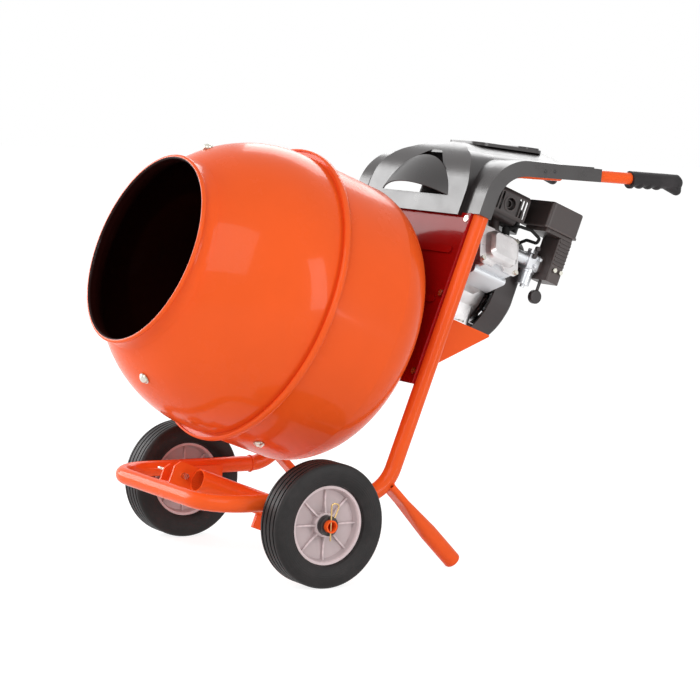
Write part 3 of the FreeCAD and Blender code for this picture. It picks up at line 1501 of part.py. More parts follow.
def make_lock_bracket():
    """Folded bracket on the socket's side: a chamfered cheek, an outer ear and a floor."""
    def plate(x, half, rear_y):
        low = socket_s - 25.0
        high = socket_s + half
        face = outline(V(x, rear_y, low), V(x, -lock_ahead - 27.0, low),
                       V(x, -lock_ahead - 27.0, high - 12.0), V(x, -lock_ahead - 17.0, high),
                       V(x, rear_y, high))
        return face.extrude(X * -cheek_t)
    cheek = plate(cheek_x, 25.0, -socket_front + 22.0)
    ear = plate(ear_x + cheek_t, 14.0, -lock_ahead + 16.0)
    floor = block(ear_x, cheek_x, -lock_ahead - 27.0, -lock_ahead + 16.0,
                  socket_s - 25.0, socket_s - 25.0 + 3.0)
    bracket = fuse_all([cheek, ear, floor])
    bracket = bracket.cut(rod(V(ear_x - 20, -lock_ahead, socket_s), X, lock_pin_r + 0.15, 80))
    return lean_back(bracket)


def make_lock_pin():
    """Spring pin with its collar and pull ring."""
    at = V(ear_x - 30.0, -lock_ahead, socket_s)
    shank = rod(at, X, lock_pin_r, -12.0 - at.x)
    collar = rod(V(cheek_x - cheek_t - 3.3, -lock_ahead, socket_s), X, 11.0, 3.0)
    ring = Part.makeTorus(13.0, 2.4, at + V(-9.0, 0, 0), Z)
    return lean_back(fuse_all([shank, collar, ring]))


def make_lock_spring():
    """Coil spring between the pin's collar and the outer ear."""
    low_x = ear_x + cheek_t + 0.3
    high_x = cheek_x - cheek_t - 3.3 - 0.3
    turns = 4
    wire = 1.2
    pitch = (high_x - low_x - 2 * wire) / turns
    helix = Part.makeHelix(pitch, pitch * turns, 8.2)
    corners = [V(8.2 + wire * math.cos(math.pi / 4 * i), 0, wire * math.sin(math.pi / 4 * i))
               for i in range(9)]
    profile = Part.makePolygon(corners)
    spring = Part.Wire(helix).makePipeShell([profile], True, True)
    spring.rotate(V(0, 0, 0), Y, 90)
    spring.translate(V(low_x + wire, -lock_ahead, socket_s))
    return lean_back(spring)


parts = {}
for side, name in ((1, "left"), (-1, "right")):
    wheel_x = side * wheel_track / 2
    parts[name + "_tyre"] = make_tyre(wheel_x)
    parts[name + "_rim"] = make_rim(wheel_x)
    parts[name + "_wheel_bush"] = make_bush(wheel_x)
    parts[name + "_upright"] = make_upright(side)
    parts[name + "_leg"] = make_leg(side)
parts["axle"] = make_axle()
parts["axle_clips"] = Part.makeCompound([make_clip(1), make_clip(-1)])
parts["axle_washers"] = Part.makeCompound([make_washer(1), make_washer(-1)])
parts["axle_collars"] = Part.makeCompound([make_inner_collar(1), make_inner_collar(-1)])
parts["base_loop"] = make_base_loop()
parts["stand_socket"] = make_socket()
parts["drum_bell"] = make_drum_bell()
parts["drum_bowl"] = make_drum_bowl()
parts["drum_seam_band"] = make_seam_band()
parts["drum_shaft"] = make_drum_shaft()
parts["drum_bolts"] = make_drum_bolts()
parts["mixing_blades"] = make_blades()
parts["blade_bolts"] = make_blade_bolts()
parts["output_gear"] = make_output_gear()
parts["lay_gear"] = make_lay_gear()
parts["input_shaft"] = make_input_shaft()
parts["gearbox_housing"] = make_gearbox_housing()
parts["gearbox_cover"] = make_gearbox_cover()
parts["gearbox_bearings"] = make_gearbox_bearings()
parts["driven_pulley"] = make_driven_pulley()
parts["crank_pulley"] = make_crank_pulley()
parts["crankshaft"] = make_crankshaft()
parts["drive_belt"] = make_belt()
parts["drive_panel"] = make_panel()
parts["panel_bolts"] = make_panel_bolts()
parts["engine_shelf"] = make_shelf()
parts["crankcase"] = make_crankcase()
parts["cylinder"] = make_cylinder()
parts["valve_cover"] = make_valve_cover()
parts["engine_bolts"] = make_cover_bolts()
parts["fan_cover"] = make_fan_cover()
parts["recoil_cover"] = make_recoil_cover()
parts["muffler"] = make_muffler()
parts["muffler_guard"] = make_muffler_guard()
parts["air_cleaner"] = make_air_cleaner()
parts["air_box"] = make_air_box()
parts["carburettor"] = make_carburettor()
parts["choke_lever"] = make_choke_lever()
parts["fuel_knob"] = make_fuel_knob()
parts["ignition_lead"] = make_ignition_lead()
parts["fuel_tank"] = make_fuel_tank()
parts["fuel_cap"] = make_fuel_cap()
parts["hood"] = make_hood()
for side, name in ((1, "left"), (-1, "right")):
    parts[name + "_handle_tube"] = make_handle(side)
    parts[name + "_grip"] = make_grip(side)
parts["lock_bracket"] = make_lock_bracket()
parts["lock_pin"] = make_lock_pin()
parts["lock_spring"] = make_lock_spring()

os.makedirs("parts", exist_ok=True)
for name, shape in parts.items():
    shape.exportStep("parts/" + name + ".step")
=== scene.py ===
import json
import math

import bmesh
import bpy
from bpy.props import FloatProperty, FloatVectorProperty, PointerProperty
from mathutils import Matrix, Vector
from mathutils.bvhtree import BVHTree


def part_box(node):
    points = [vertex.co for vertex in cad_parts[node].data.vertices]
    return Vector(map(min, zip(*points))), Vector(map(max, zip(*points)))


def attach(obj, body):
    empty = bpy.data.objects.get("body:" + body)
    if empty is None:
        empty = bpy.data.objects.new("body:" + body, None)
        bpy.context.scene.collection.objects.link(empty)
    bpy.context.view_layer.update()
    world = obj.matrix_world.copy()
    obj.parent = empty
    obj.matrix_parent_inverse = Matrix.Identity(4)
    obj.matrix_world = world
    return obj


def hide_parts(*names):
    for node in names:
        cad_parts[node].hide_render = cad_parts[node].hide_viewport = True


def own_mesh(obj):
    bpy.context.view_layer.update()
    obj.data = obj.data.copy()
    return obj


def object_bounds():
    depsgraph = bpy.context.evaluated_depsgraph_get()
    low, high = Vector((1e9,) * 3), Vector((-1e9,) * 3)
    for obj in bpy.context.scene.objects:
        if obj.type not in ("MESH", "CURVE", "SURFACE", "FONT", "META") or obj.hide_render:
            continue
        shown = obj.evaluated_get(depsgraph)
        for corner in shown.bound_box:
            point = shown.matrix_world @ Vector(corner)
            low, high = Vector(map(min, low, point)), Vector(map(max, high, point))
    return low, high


bl_info = {
    "name": "Concrete Mixer Finish",
    "version": (1, 0, 0),
    "blender": (4, 5, 0),
    "location": "View3D > Sidebar > Mixer",
    "description": "Finishes, small fittings and a studio stage for a petrol concrete mixer",
    "category": "Object",
}

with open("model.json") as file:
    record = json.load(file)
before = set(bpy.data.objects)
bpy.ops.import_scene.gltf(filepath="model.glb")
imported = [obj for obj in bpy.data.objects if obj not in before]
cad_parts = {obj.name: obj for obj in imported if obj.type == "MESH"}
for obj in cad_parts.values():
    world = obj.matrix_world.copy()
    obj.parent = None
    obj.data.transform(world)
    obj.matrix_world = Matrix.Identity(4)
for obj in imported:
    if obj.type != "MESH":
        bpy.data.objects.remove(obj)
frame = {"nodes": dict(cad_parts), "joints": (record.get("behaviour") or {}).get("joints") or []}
cad_box = [list(corner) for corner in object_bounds()]

# The drum's axis leans back with the uprights
LEAN = math.radians(20.0)
DRUM_AXIS = Vector((0.0, math.cos(LEAN), -math.sin(LEAN)))
JOINTS = {joint["name"]: joint for joint in frame["joints"]}
DRUM_PLACE = Vector(JOINTS["drum_spin"]["pos_m"])
WHEEL_PLACE = Vector(JOINTS["left_wheel_spin"]["pos_m"])

# Mould rings on the side walls of the tyres
RING_PITCH = 0.0042
RINGS_FROM = 0.088
RINGS_TO = 0.112
RINGS_FADE = 0.003

# Welds: each part and what carries it
WELDS = (
    ("left_leg", "left_upright"), ("right_leg", "right_upright"),
    ("left_upright", "base_loop"), ("right_upright", "base_loop"),
)
WELD_REACH = 0.0009
WELD_SHORTEST = 0.02
WELD_CORNER = math.radians(24.0)
WELD_DIP = 0.14
RIPPLE_STEPS = 4

# Push rivets of the hood: how far back they sit, and how far below its top
RIVETS_BEHIND = (0.244, 0.269)
RIVET_DROP = 0.0535
RIVET_CROWN = 0.35
RIVET_STEPS = 24
# Out from the rivet's middle and up its crown, as shares of its head
RIVET_PROFILE = ((0.0, 1.0), (0.35, 0.93), (0.65, 0.72), (0.88, 0.38), (1.0, 0.0), (1.0, -0.4))

SPRING_STEPS = 20

# Camera: what it looks at, the way back to it, and its roll
CAMERA_AT = Vector((0.0, -0.0661, 0.4321))
CAMERA_AWAY = Vector((0.82681, -0.55225, 0.10678)).normalized()
CAMERA_ROLL = math.radians(2.79)

# Lamps: name, place, size, and the stage setting that holds the power
LAMPS = (
    ("key_lamp", (2.6, -4.0, 3.9), (4.4, 3.6), "key_power"),
    ("side_lamp", (-3.4, -2.1, 1.5), (2.6, 2.2), "side_power"),
    ("fill_lamp", (3.6, 1.4, 1.2), (1.0, 2.4), "fill_power"),
    ("back_lamp", (-2.6, 2.2, 2.6), (2.0, 2.0), "fill_power"),
)

FLOOR_HALF = 30.0
FLOOR_GAP = 0.0005
FLOOR_WHITE = (0.88, 0.88, 0.88)
FLOOR_GLOW = 1.42
FLOOR_GLOW_SHARE = 0.6


# ---- settings ------------------------------------------------------------------------------

def colour(name, default, description):
    return FloatVectorProperty(name=name, description=description, default=default, size=3,
                               subtype="COLOR", min=0.0, max=1.0)


def share(name, default, description):
    return FloatProperty(name=name, description=description, default=default, min=0.0, max=1.0,
                         subtype="FACTOR")


def length(name, default, description):
    return FloatProperty(name=name, description=description, default=default, min=0.0,
                         unit="LENGTH", subtype="DISTANCE")


class MixerFinishes(bpy.types.PropertyGroup):
    """Colours and gloss of the mixer's finishes."""
    enamel: colour("Orange enamel", (0.86, 0.105, 0.016), "Paint of the drum and the barrow frame")
    # Painted shade: this dark colour stands for the shade inside the drum, on its inner walls and
    # on the blades.
    drum_inside_shade: colour("Drum inside shade", (0.014, 0.0016, 0.001), "Painted shade inside the drum and on its blades")
    panel: colour("Red enamel", (0.27, 0.003, 0.003), "Paint of the drive panel")
    hood: colour("Hood plastic", (0.011, 0.008, 0.0078), "Moulded plastic of the hood")
    rim: colour("Rim plastic", (0.52, 0.425, 0.43), "Moulded plastic of the wheels")
    tyre: colour("Tyre rubber", (0.011, 0.0095, 0.0095), "Solid rubber of the tyres")
    enamel_gloss: share("Enamel roughness", 0.22, "Roughness of the paint under its clear coat")


class MixerStage(bpy.types.PropertyGroup):
    """Camera, lamps and floor."""
    camera_distance: length("Camera distance", 4.8358, "From the camera to the mixer's middle")
    camera_lens: FloatProperty(name="Camera lens", description="Focal length on a 36 mm sensor",
                               default=117.74, min=1.0, unit="CAMERA")
    key_power: FloatProperty(name="Key lamp", description="Power of the large front lamp",
                             default=150.0, min=0.0, unit="POWER")
    side_power: FloatProperty(name="Side lamp", description="Power of the wide lamp opposite",
                              default=120.0, min=0.0, unit="POWER")
    fill_power: FloatProperty(name="Fill lamp", description="Power of each rear lamp",
                              default=40.0, min=0.0, unit="POWER")
    sky: FloatProperty(name="Sky", description="Strength of the even light all round",
                       default=0.45, min=0.0)


class MixerFittings(bpy.types.PropertyGroup):
    """Sizes of the small fittings."""
    weld_bead: length("Weld bead", 0.0024, "Radius of the weld beads")
    weld_ripple: length("Weld ripple", 0.0032, "Spacing of the ripples along a bead")
    rivet_head: length("Rivet head", 0.0042, "Radius of the hood's push rivets")
    lock_wire: length("Lock spring wire", 0.0012, "Radius of the wire of the stand lock's spring")
    lock_turns: FloatProperty(name="Lock spring turns",
                              description="Turns of the stand lock's spring",
                              default=4.0, min=1.0)


def finishes():
    return bpy.context.scene.mixer_finishes


def fittings():
    return bpy.context.scene.mixer_fittings


# ---- node helpers --------------------------------------------------------------------------

class Graph:
    """Short calls that add and join the nodes of one material."""

    def __init__(self, name):
        self.material = bpy.data.materials.new(name)
        self.material.use_nodes = True
        self.tree = self.material.node_tree
        self.shader = self.tree.nodes["Principled BSDF"]
        self.place = self.add("ShaderNodeTexCoord").outputs["Object"]

    def add(self, kind, **inputs):
        node = self.tree.nodes.new(kind)
        for key, value in inputs.items():
            self.feed(node.inputs[key.replace("_", " ")], value)
        return node

    def feed(self, socket, value):
        if isinstance(value, bpy.types.NodeSocket):
            self.tree.links.new(value, socket)
        else:
            socket.default_value = value

    def math(self, operation, *values):
        node = self.tree.nodes.new("ShaderNodeMath")
        node.operation = operation
        for socket, value in zip(node.inputs, values):
            self.feed(socket, value)
        return node.outputs[0]

    def vector(self, operation, *values):
        node = self.tree.nodes.new("ShaderNodeVectorMath")
        node.operation = operation
        for socket, value in zip(node.inputs, values):
            self.feed(socket, value)
        return node.outputs["Value" if operation in ("DOT_PRODUCT", "LENGTH") else "Vector"]

    def noise(self, scale, detail, roughness=0.5):
        node = self.add("ShaderNodeTexNoise", Scale=scale, Detail=detail, Roughness=roughness)
        self.feed(node.inputs["Vector"], self.place)
        return node.outputs["Fac"]

    def span(self, value, low, high, to_low=0.0, to_high=1.0):
        node = self.tree.nodes.new("ShaderNodeMapRange")
        for socket, given in zip(node.inputs, (value, low, high, to_low, to_high)):
            self.feed(socket, given)
        return node.outputs["Result"]

    def mix(self, factor, first, second):
        node = self.tree.nodes.new("ShaderNodeMix")
        node.data_type = "RGBA"
        self.feed(node.inputs[0], factor)
        for socket, value in ((node.inputs[6], first), (node.inputs[7], second)):
            self.feed(socket, value if isinstance(value, bpy.types.NodeSocket) else full(value))
        return node.outputs[2]

    def bump(self, height, distance, strength=1.0, under=None):
        node = self.add("ShaderNodeBump", Strength=strength, Distance=distance, Height=height)
        if under is not None:
            self.feed(node.inputs["Normal"], under)
        return node.outputs["Normal"]

    def edges(self, low=0.52, high=0.60):
        """1 on outer edges, 0 elsewhere."""
        node = self.tree.nodes.new("ShaderNodeNewGeometry")
        return self.span(node.outputs["Pointiness"], low, high)

    def set(self, **inputs):
        for key, value in inputs.items():
            name = key.replace("_", " ")
            if name == "Base Color" and not isinstance(value, bpy.types.NodeSocket):
                value = full(value)
            self.feed(self.shader.inputs[name], value)


def full(rgb):
    return tuple(rgb)[:3] + (1.0,)


def shade(rgb, factor):
    return tuple(channel * factor for channel in tuple(rgb)[:3])


# ---- finishes ------------------------------------------------------------------------------

def enamel(name, base, roughness, shade_colour_inside=None):
    """Sprayed gloss enamel: faint orange peel, thin dust, a painted highlight on outer edges and,
    given an inside colour, painted shade inside the drum.
    """
    g = Graph(name)
    cloud = g.noise(3.5, 4.0, 0.6)
    tone = g.mix(g.span(cloud, 0.3, 0.7), shade(base, 0.95), shade(base, 1.04))
    # Painted highlight: outer edges are lightened, as if catching the light.
    edge = g.math("MULTIPLY", g.edges(), 0.35)
    tone = g.mix(edge, tone, shade(base, 1.25))
    peel = g.noise(420.0, 2.0)
    slow = g.noise(38.0, 2.0)
    normal = g.bump(peel, 0.00006, 0.35)
    normal = g.bump(slow, 0.0004, 0.10, normal)
    smear = g.span(g.noise(9.0, 5.0, 0.65), 0.35, 0.75, roughness * 0.85, roughness * 1.5)
    # Painted shade: faces that look in towards the drum's axis take the dark inside colour.
    if shade_colour_inside is not None:
        rel = g.vector("SUBTRACT", g.place, tuple(DRUM_PLACE))
        along = g.vector("DOT_PRODUCT", rel, tuple(DRUM_AXIS))
        scaled = g.tree.nodes.new("ShaderNodeVectorMath")
        scaled.operation = "SCALE"
        scaled.inputs[0].default_value = tuple(DRUM_AXIS)
        g.feed(scaled.inputs["Scale"], along)
        out = g.vector("NORMALIZE", g.vector("SUBTRACT", rel, scaled.outputs["Vector"]))
        facing = g.add("ShaderNodeTexCoord").outputs["Normal"]
        turn = g.vector("DOT_PRODUCT", out, facing)
        shade_inward = g.span(turn, -0.25, -0.12, 1.0, 0.0)
        tone = g.mix(shade_inward, tone, shade_colour_inside)
        smear = g.math("ADD", smear, g.math("MULTIPLY", shade_inward, 0.35))
    g.set(Base_Color=tone, Roughness=smear, Normal=normal, Coat_Weight=0.16,
          Coat_Roughness=0.05, Specular_IOR_Level=0.05)


def moulded_plastic(name, base, roughness, gloss=0.5):
    """Moulded plastic with a fine grain and a painted highlight that makes outer edges paler."""
    g = Graph(name)
    cloud = g.noise(6.0, 4.0, 0.6)
    tone = g.mix(g.span(cloud, 0.3, 0.7), shade(base, 0.9), shade(base, 1.12))
    # Painted highlight: outer edges are made paler, as if catching the light.
    edge = g.math("MULTIPLY", g.edges(0.51, 0.57), 0.5)
    tone = g.mix(edge, tone, shade(base, 1.9))
    fine = g.noise(900.0, 2.0)
    rough = g.span(g.noise(22.0, 4.0), 0.3, 0.7, roughness * 0.88, roughness * 1.15)
    g.set(Base_Color=tone, Roughness=rough, Normal=g.bump(fine, 0.00008, 0.5),
          Specular_IOR_Level=gloss)


def rubber(name, base, roughness, rings=None):
    """Moulded rubber with fine pores and dust; rings is the line that its mould rings go round."""
    g = Graph(name)
    dust = g.noise(14.0, 6.0, 0.7)
    tone = g.mix(g.span(dust, 0.42, 0.75), base, shade(base, 2.6))
    pores = g.noise(650.0, 3.0, 0.7)
    normal = g.bump(pores, 0.00012, 0.5)
    if rings is not None:
        rel = g.vector("MULTIPLY", g.vector("SUBTRACT", g.place, rings), (0.0, 1.0, 1.0))
        radius = g.vector("LENGTH", rel)
        wave = g.math("SINE", g.math("MULTIPLY", radius, math.tau / RING_PITCH))
        side = g.math("MULTIPLY", g.span(radius, RINGS_FROM, RINGS_FROM + RINGS_FADE),
                      g.span(radius, RINGS_TO, RINGS_TO - RINGS_FADE))
        normal = g.bump(g.math("MULTIPLY", wave, side), 0.0003, 0.35, normal)
    g.set(Base_Color=tone, Roughness=g.span(dust, 0.3, 0.8, roughness * 0.85, roughness * 1.15),
          Normal=normal, Specular_IOR_Level=0.26)


def bare_metal(name, base, roughness):
    """Metal with a fine grain and faint stains."""
    g = Graph(name)
    fine = g.noise(300.0, 3.0, 0.6)
    stain = g.noise(16.0, 5.0, 0.65)
    tone = g.mix(g.span(stain, 0.35, 0.8), base, shade(base, 0.72))
    rough = g.span(fine, 0.3, 0.7, roughness * 0.75, roughness * 1.3)
    g.set(Base_Color=tone, Roughness=rough, Metallic=1.0, Normal=g.bump(fine, 0.00005, 0.5))


def cast_metal(name, base, roughness=0.42):
    """Shot-blasted casting: fine pits over a soft mottling."""
    g = Graph(name)
    pits = g.add("ShaderNodeTexVoronoi", Scale=900.0, Vector=g.place).outputs["Distance"]
    lumps = g.noise(120.0, 4.0, 0.6)
    stain = g.noise(20.0, 5.0, 0.6)
    tone = g.mix(g.span(stain, 0.35, 0.8), base, shade(base, 0.7))
    normal = g.bump(pits, 0.00010, 0.35)
    normal = g.bump(lumps, 0.00025, 0.35, normal)
    g.set(Base_Color=tone, Roughness=g.span(lumps, 0.3, 0.7, roughness * 0.8, roughness * 1.3),
          Metallic=0.9, Normal=normal)


def make_finishes():
    own = finishes()
    gloss = own.enamel_gloss
    enamel("frame_enamel", own.enamel, gloss)
    enamel("drum_enamel", own.enamel, gloss, tuple(own.drum_inside_shade))
    # The blades are painted wholly in the drum's dark inside colour, as painted shade.
    enamel("blade_enamel", own.drum_inside_shade, 0.4)
    enamel("panel_enamel", own.panel, 0.16)
    enamel("shelf_enamel", own.enamel, gloss)
    moulded_plastic("hood_plastic", own.hood, 0.30, 0.8)
    moulded_plastic("dark_plastic", (0.024, 0.018, 0.018), 0.42)
    moulded_plastic("box_plastic", (0.050, 0.038, 0.036), 0.45)
    moulded_plastic("rim_plastic", own.rim, 0.40)
    moulded_plastic("bush_plastic", (0.012, 0.010, 0.010), 0.35)
    rubber("tyre_rubber", own.tyre, 0.55, tuple(WHEEL_PLACE))
    rubber("grip_rubber", (0.016, 0.014, 0.015), 0.55)
    rubber("belt_rubber", (0.012, 0.012, 0.012), 0.8)
    bare_metal("zinc", (0.72, 0.70, 0.62), 0.26)
    bare_metal("brassy_zinc", (0.72, 0.50, 0.22), 0.30)
    bare_metal("machined_steel", (0.50, 0.50, 0.51), 0.30)
    bare_metal("turned_bronze", (0.55, 0.33, 0.13), 0.34)
    cast_metal("cast_alloy", (0.62, 0.60, 0.59))
    cast_metal("bright_alloy", (0.82, 0.80, 0.80), 0.34)
    enamel("black_paint", (0.010, 0.009, 0.009), 0.35)
    moulded_plastic("heat_paint", (0.030, 0.022, 0.021), 0.42)


CAD_FINISH = {
    "frame_enamel": ("base_loop", "left_upright", "right_upright", "left_leg", "right_leg",
                     "left_handle_tube", "right_handle_tube", "axle", "stand_socket",
                     "lock_bracket", "axle_collars"),
    "drum_enamel": ("drum_bell", "drum_bowl"),
    "shelf_enamel": ("engine_shelf", "drum_seam_band"),
    "blade_enamel": ("mixing_blades",),
    "panel_enamel": ("drive_panel",),
    "hood_plastic": ("hood",),
    "tyre_rubber": ("left_tyre", "right_tyre"),
    "rim_plastic": ("left_rim", "right_rim"),
    "bush_plastic": ("left_wheel_bush", "right_wheel_bush", "axle_washers", "fuel_cap"),
    "dark_plastic": ("fan_cover", "recoil_cover", "choke_lever", "fuel_knob"),
    "box_plastic": ("air_cleaner", "air_box"),
    "brassy_zinc": ("axle_clips", "lock_spring"),
    "zinc": ("blade_bolts", "drum_bolts", "panel_bolts", "engine_bolts",
             "lock_pin"),
    "machined_steel": ("drum_shaft", "output_gear", "lay_gear", "input_shaft", "crankshaft"),
    "cast_alloy": ("gearbox_housing", "gearbox_cover", "cylinder", "carburettor"),
    "bright_alloy": ("crankcase", "valve_cover"),
    "black_paint": ("driven_pulley", "crank_pulley", "fuel_tank"),
    "belt_rubber": ("drive_belt", "ignition_lead"),
    "turned_bronze": ("gearbox_bearings",),
    "grip_rubber": ("left_grip", "right_grip"),
    "heat_paint": ("muffler", "muffler_guard"),
}


def paint_nodes(names):
    """Gives each shown CAD node its finish."""
    for finish in names:
        material = bpy.data.materials[finish]
        for node in CAD_FINISH[finish]:
            mesh = frame["nodes"][node].data
            mesh.materials.clear()
            mesh.materials.append(material)


# ---- small pieces --------------------------------------------------------------------------

def add_piece(name, form, finish):
    """Makes an object of a finished bmesh and lets it ride on the chassis."""
    mesh = bpy.data.meshes.new(name)
    bmesh.ops.recalc_face_normals(form, faces=form.faces)
    for face in form.faces:
        face.smooth = True
    form.to_mesh(mesh)
    form.free()
    mesh.materials.append(bpy.data.materials[finish])
    piece = bpy.data.objects.new(name, mesh)
    bpy.context.scene.collection.objects.link(piece)
    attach(piece, "chassis")
    return piece


def wire(form, points, radius_at, sides=8):
    """Sweeps a round section along points; radius_at gives the radius at each of them."""
    last = len(points) - 1
    rings = []
    side = None
    for index, point in enumerate(points):
        along = (points[min(index + 1, last)] - points[max(index - 1, 0)]).normalized()
        if side is None:
            side = along.orthogonal().normalized()
        side = (side - along * side.dot(along)).normalized()
        other = along.cross(side)
        ring = []
        for turn in range(sides):
            angle = math.tau * turn / sides
            out = side * math.cos(angle) + other * math.sin(angle)
            ring.append(form.verts.new(point + out * radius_at(index)))
        rings.append(ring)
    for first, second in zip(rings, rings[1:]):
        for turn in range(sides):
            after = (turn + 1) % sides
            form.faces.new((first[turn], first[after], second[after], second[turn]))
    form.faces.new(rings[0])
    form.faces.new(rings[-1])


def node_form(name):
    """A bmesh of one CAD node, with the doubled points of its sharp edges joined."""
    form = bmesh.new()
    form.from_mesh(frame["nodes"][name].data)
    bmesh.ops.remove_doubles(form, verts=form.verts, dist=2e-6)
    return form


def joint_lines(part, carrier):
    """Runs of the part's sharp edges that lie on its carrier, as lists of points."""
    form = node_form(part)
    other = node_form(carrier)
    tree = BVHTree.FromBMesh(other)
    near = {}

    def is_near(vert):
        if vert.index not in near:
            near[vert.index] = tree.find_nearest(vert.co, WELD_REACH)[0] is not None
        return near[vert.index]

    form.verts.index_update()
    links = {}
    for edge in form.edges:
        if len(edge.link_faces) != 2 or not all(is_near(vert) for vert in edge.verts):
            continue
        if edge.calc_face_angle(0.0) < WELD_CORNER:
            continue
        first, second = edge.verts
        links.setdefault(first.index, []).append(second.index)
        links.setdefault(second.index, []).append(first.index)
    places = {vert.index: vert.co.copy() for vert in form.verts}
    form.free()
    other.free()
    lines = []
    unused = set(links)
    while unused:
        start = min(unused, key=lambda item: (len(links[item]), item))
        line = [start]
        unused.discard(start)
        while True:
            steps = [item for item in links[line[-1]] if item in unused]
            if not steps:
                break
            line.append(min(steps))
            unused.discard(line[-1])
        lines.append([places[item] for item in line])
    return lines


def even_points(points, spacing):
    """The same run with points evenly spaced."""
    total = sum((b - a).length for a, b in zip(points, points[1:]))
    count = max(2, round(total / spacing) + 1)
    result = [points[0].copy()]
    step = total / (count - 1)
    need = step
    for first, second in zip(points, points[1:]):
        gap = (second - first).length
        if gap < 1e-9:
            continue
        done = 0.0
        while gap - done >= need - 1e-9 and len(result) < count:
            done += need
            result.append(first.lerp(second, min(1.0, done / gap)))
            need = step
        need -= gap - done
    return result


# ---- operators -----------------------------------------------------------------------------

class MixFinishes(bpy.types.Operator):
    """Mix every finish and put it on the pieces of the frame"""
    bl_idname = "mixer.finishes"
    bl_label = "Finishes"

    def execute(self, context):
        make_finishes()
        paint_nodes(CAD_FINISH)
        return {"FINISHED"}


class LayWelds(bpy.types.Operator):
    """Lay rippled weld beads where the frame's pieces meet"""
    bl_idname = "mixer.welds"
    bl_label = "Weld beads"

    def execute(self, context):
        own = fittings()
        step = own.weld_ripple / RIPPLE_STEPS

        def bead_radius(index):
            ripple = abs(math.sin(index * math.pi / RIPPLE_STEPS))
            return own.weld_bead * (1.0 - WELD_DIP + WELD_DIP * ripple)

        for part, carrier in WELDS:
            form = bmesh.new()
            for line in joint_lines(part, carrier):
                points = even_points(line, step) if len(line) > 2 else []
                if len(points) * step >= WELD_SHORTEST:
                    wire(form, points, bead_radius)
            if not form.verts:
                raise RuntimeError("no weld line between " + part + " and " + carrier)
            add_piece("weld." + part + "." + carrier, form, "frame_enamel")
        return {"FINISHED"}


class FitRivets(bpy.types.Operator):
    """Press the push rivets into the sides of the hood's channels"""
    bl_idname = "mixer.rivets"
    bl_label = "Hood rivets"

    def execute(self, context):
        head = fittings().rivet_head
        low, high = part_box("hood")
        for side, face in ((-1, low.x), (1, high.x)):
            form = bmesh.new()
            for behind in RIVETS_BEHIND:
                place = Vector((face, behind, high.z - RIVET_DROP))
                ring = []
                for out, rise in RIVET_PROFILE:
                    offset = Vector((side * rise * head * RIVET_CROWN, 0.0, out * head))
                    ring.append(form.verts.new(place + offset))
                edges = [form.edges.new(pair) for pair in zip(ring, ring[1:])]
                bmesh.ops.spin(form, geom=ring + edges, cent=place, axis=(1.0, 0.0, 0.0),
                               angle=math.tau, steps=RIVET_STEPS, use_duplicate=False)
            bmesh.ops.remove_doubles(form, verts=form.verts, dist=1e-6)
            add_piece("hood_rivets." + ("right" if side < 0 else "left"), form,
                      "bush_plastic")
        return {"FINISHED"}


class WindLockSpring(bpy.types.Operator):
    """Wind the stand lock's spring"""
    bl_idname = "mixer.lock_spring"
    bl_label = "Lock spring"

    def execute(self, context):
        own = fittings()
        low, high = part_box("lock_spring")
        middle = (low + high) / 2
        radius = (high.z - low.z) / 2 - own.lock_wire
        start, end = low.x + own.lock_wire, high.x - own.lock_wire
        count = round(own.lock_turns * SPRING_STEPS)
        points = []
        for index in range(count + 1):
            angle = math.tau * index / SPRING_STEPS
            points.append(Vector((start + (end - start) * index / count,
                                  middle.y + radius * math.cos(angle),
                                  middle.z + radius * math.sin(angle))))
        form = bmesh.new()
        wire(form, points, lambda index: own.lock_wire)
        spring = add_piece("wound_lock_spring", form, "brassy_zinc")
        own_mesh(spring)
        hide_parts("lock_spring")
        return {"FINISHED"}


class SetStage(bpy.types.Operator):
    """Lay the floor, hang the lamps and set the camera"""
    bl_idname = "mixer.stage"
    bl_label = "Stage"

    def execute(self, context):
        stage = context.scene.mixer_stage
        floor_height = cad_box[0][2]
        add_camera(stage)
        add_lamps(stage)
        add_floor(floor_height)
        add_sky(stage)
        context.scene.view_settings.view_transform = "Standard"
        return {"FINISHED"}


def look(place, roll=0.0):
    """Stands at a place and faces what the camera faces."""
    turn = (CAMERA_AT - Vector(place)).to_track_quat("-Z", "Y").to_matrix().to_4x4()
    return Matrix.Translation(Vector(place)) @ turn @ Matrix.Rotation(roll, 4, "Z")


def add_camera(stage):
    data = bpy.data.cameras.new("camera")
    data.lens = stage.camera_lens
    data.sensor_width = 36.0
    camera = bpy.data.objects.new("camera", data)
    bpy.context.scene.collection.objects.link(camera)
    camera.matrix_world = look(CAMERA_AT + CAMERA_AWAY * stage.camera_distance, CAMERA_ROLL)
    bpy.context.scene.camera = camera


def add_lamps(stage):
    for name, place, size, power in LAMPS:
        data = bpy.data.lights.new(name, "AREA")
        data.shape = "RECTANGLE"
        data.size, data.size_y = size
        data.energy = getattr(stage, power)
        lamp = bpy.data.objects.new(name, data)
        bpy.context.scene.collection.objects.link(lamp)
        lamp.matrix_world = look(place)


def seen_directly(tree):
    """1 for rays that show the background: seen straight on, in gloss or through glass."""
    path = tree.nodes.new("ShaderNodeLightPath")
    first = tree.nodes.new("ShaderNodeMath")
    first.operation = "MAXIMUM"
    second = tree.nodes.new("ShaderNodeMath")
    second.operation = "MAXIMUM"
    tree.links.new(path.outputs["Is Camera Ray"], first.inputs[0])
    tree.links.new(path.outputs["Is Glossy Ray"], first.inputs[1])
    tree.links.new(first.outputs[0], second.inputs[0])
    tree.links.new(path.outputs["Is Transmission Ray"], second.inputs[1])
    return second.outputs[0]


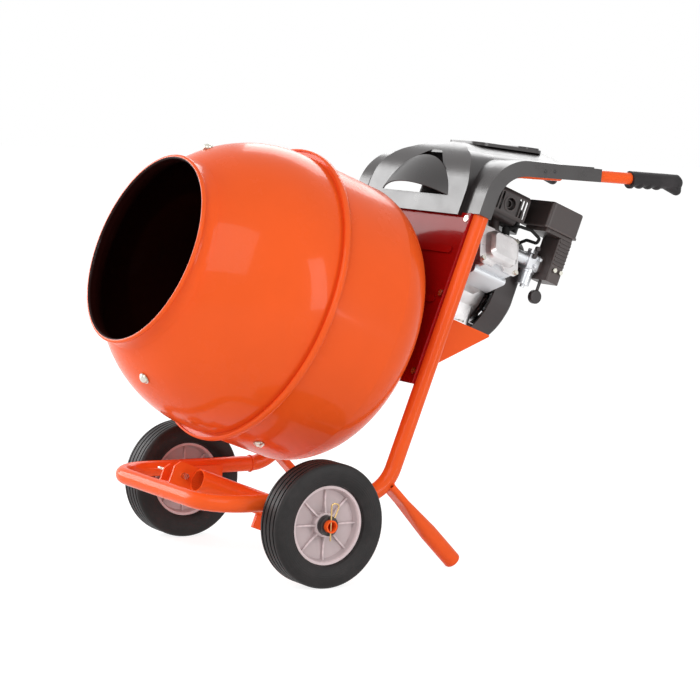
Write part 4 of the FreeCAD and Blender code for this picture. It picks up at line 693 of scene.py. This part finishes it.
def add_floor(height):
    mesh = bpy.data.meshes.new("floor")
    form = bmesh.new()
    bmesh.ops.create_grid(form, x_segments=2, y_segments=2, size=FLOOR_HALF)
    form.to_mesh(mesh)
    form.free()
    floor = bpy.data.objects.new("floor", mesh)
    floor.location.z = height - FLOOR_GAP
    bpy.context.scene.collection.objects.link(floor)
    material = bpy.data.materials.new("floor_paint")
    material.use_nodes = True
    tree = material.node_tree
    shader = tree.nodes["Principled BSDF"]
    shader.inputs["Base Color"].default_value = full(FLOOR_WHITE)
    shader.inputs["Roughness"].default_value = 0.9
    glow = tree.nodes.new("ShaderNodeEmission")
    glow.inputs["Strength"].default_value = FLOOR_GLOW
    blend = tree.nodes.new("ShaderNodeMixShader")
    strength = tree.nodes.new("ShaderNodeMath")
    strength.operation = "MULTIPLY"
    strength.inputs[1].default_value = FLOOR_GLOW_SHARE
    tree.links.new(seen_directly(tree), strength.inputs[0])
    tree.links.new(strength.outputs[0], blend.inputs["Fac"])
    tree.links.new(shader.outputs["BSDF"], blend.inputs[1])
    tree.links.new(glow.outputs["Emission"], blend.inputs[2])
    tree.links.new(blend.outputs["Shader"], tree.nodes["Material Output"].inputs["Surface"])
    mesh.materials.append(material)


def add_sky(stage):
    world = bpy.data.worlds.new("studio")
    bpy.context.scene.world = world
    world.use_nodes = True
    tree = world.node_tree
    back = tree.nodes["Background"]
    back.inputs["Color"].default_value = (1.0, 1.0, 1.0, 1.0)
    strength = tree.nodes.new("ShaderNodeMapRange")
    strength.inputs["To Min"].default_value = stage.sky
    strength.inputs["To Max"].default_value = 1.0
    tree.links.new(seen_directly(tree), strength.inputs["Value"])
    tree.links.new(strength.outputs["Result"], back.inputs["Strength"])


class MixerPanel(bpy.types.Panel):
    """Lists the mixer's steps and its settings, the stage among them"""
    bl_idname = "VIEW3D_PT_mixer"
    bl_label = "Concrete mixer"
    bl_space_type = "VIEW_3D"
    bl_region_type = "UI"
    bl_category = "Mixer"

    def draw(self, context):
        for step in STEPS:
            self.layout.operator(step.bl_idname)
        for group in (context.scene.mixer_finishes, context.scene.mixer_fittings,
                      context.scene.mixer_stage):
            box = self.layout.box()
            for name in group.__annotations__:
                box.prop(group, name)


STEPS = (MixFinishes, LayWelds, FitRivets, WindLockSpring, SetStage)
GROUPS = (MixerFinishes, MixerFittings, MixerStage)


def register():
    for item in GROUPS + STEPS + (MixerPanel,):
        bpy.utils.register_class(item)
    bpy.types.Scene.mixer_finishes = PointerProperty(type=MixerFinishes)
    bpy.types.Scene.mixer_fittings = PointerProperty(type=MixerFittings)
    bpy.types.Scene.mixer_stage = PointerProperty(type=MixerStage)


def unregister():
    del bpy.types.Scene.mixer_stage
    del bpy.types.Scene.mixer_fittings
    del bpy.types.Scene.mixer_finishes
    for item in reversed(GROUPS + STEPS + (MixerPanel,)):
        bpy.utils.unregister_class(item)


def main():
    register()
    for step in STEPS:
        group, action = step.bl_idname.split(".")
        getattr(getattr(bpy.ops, group), action)()


if __name__ == "__main__":
    main()
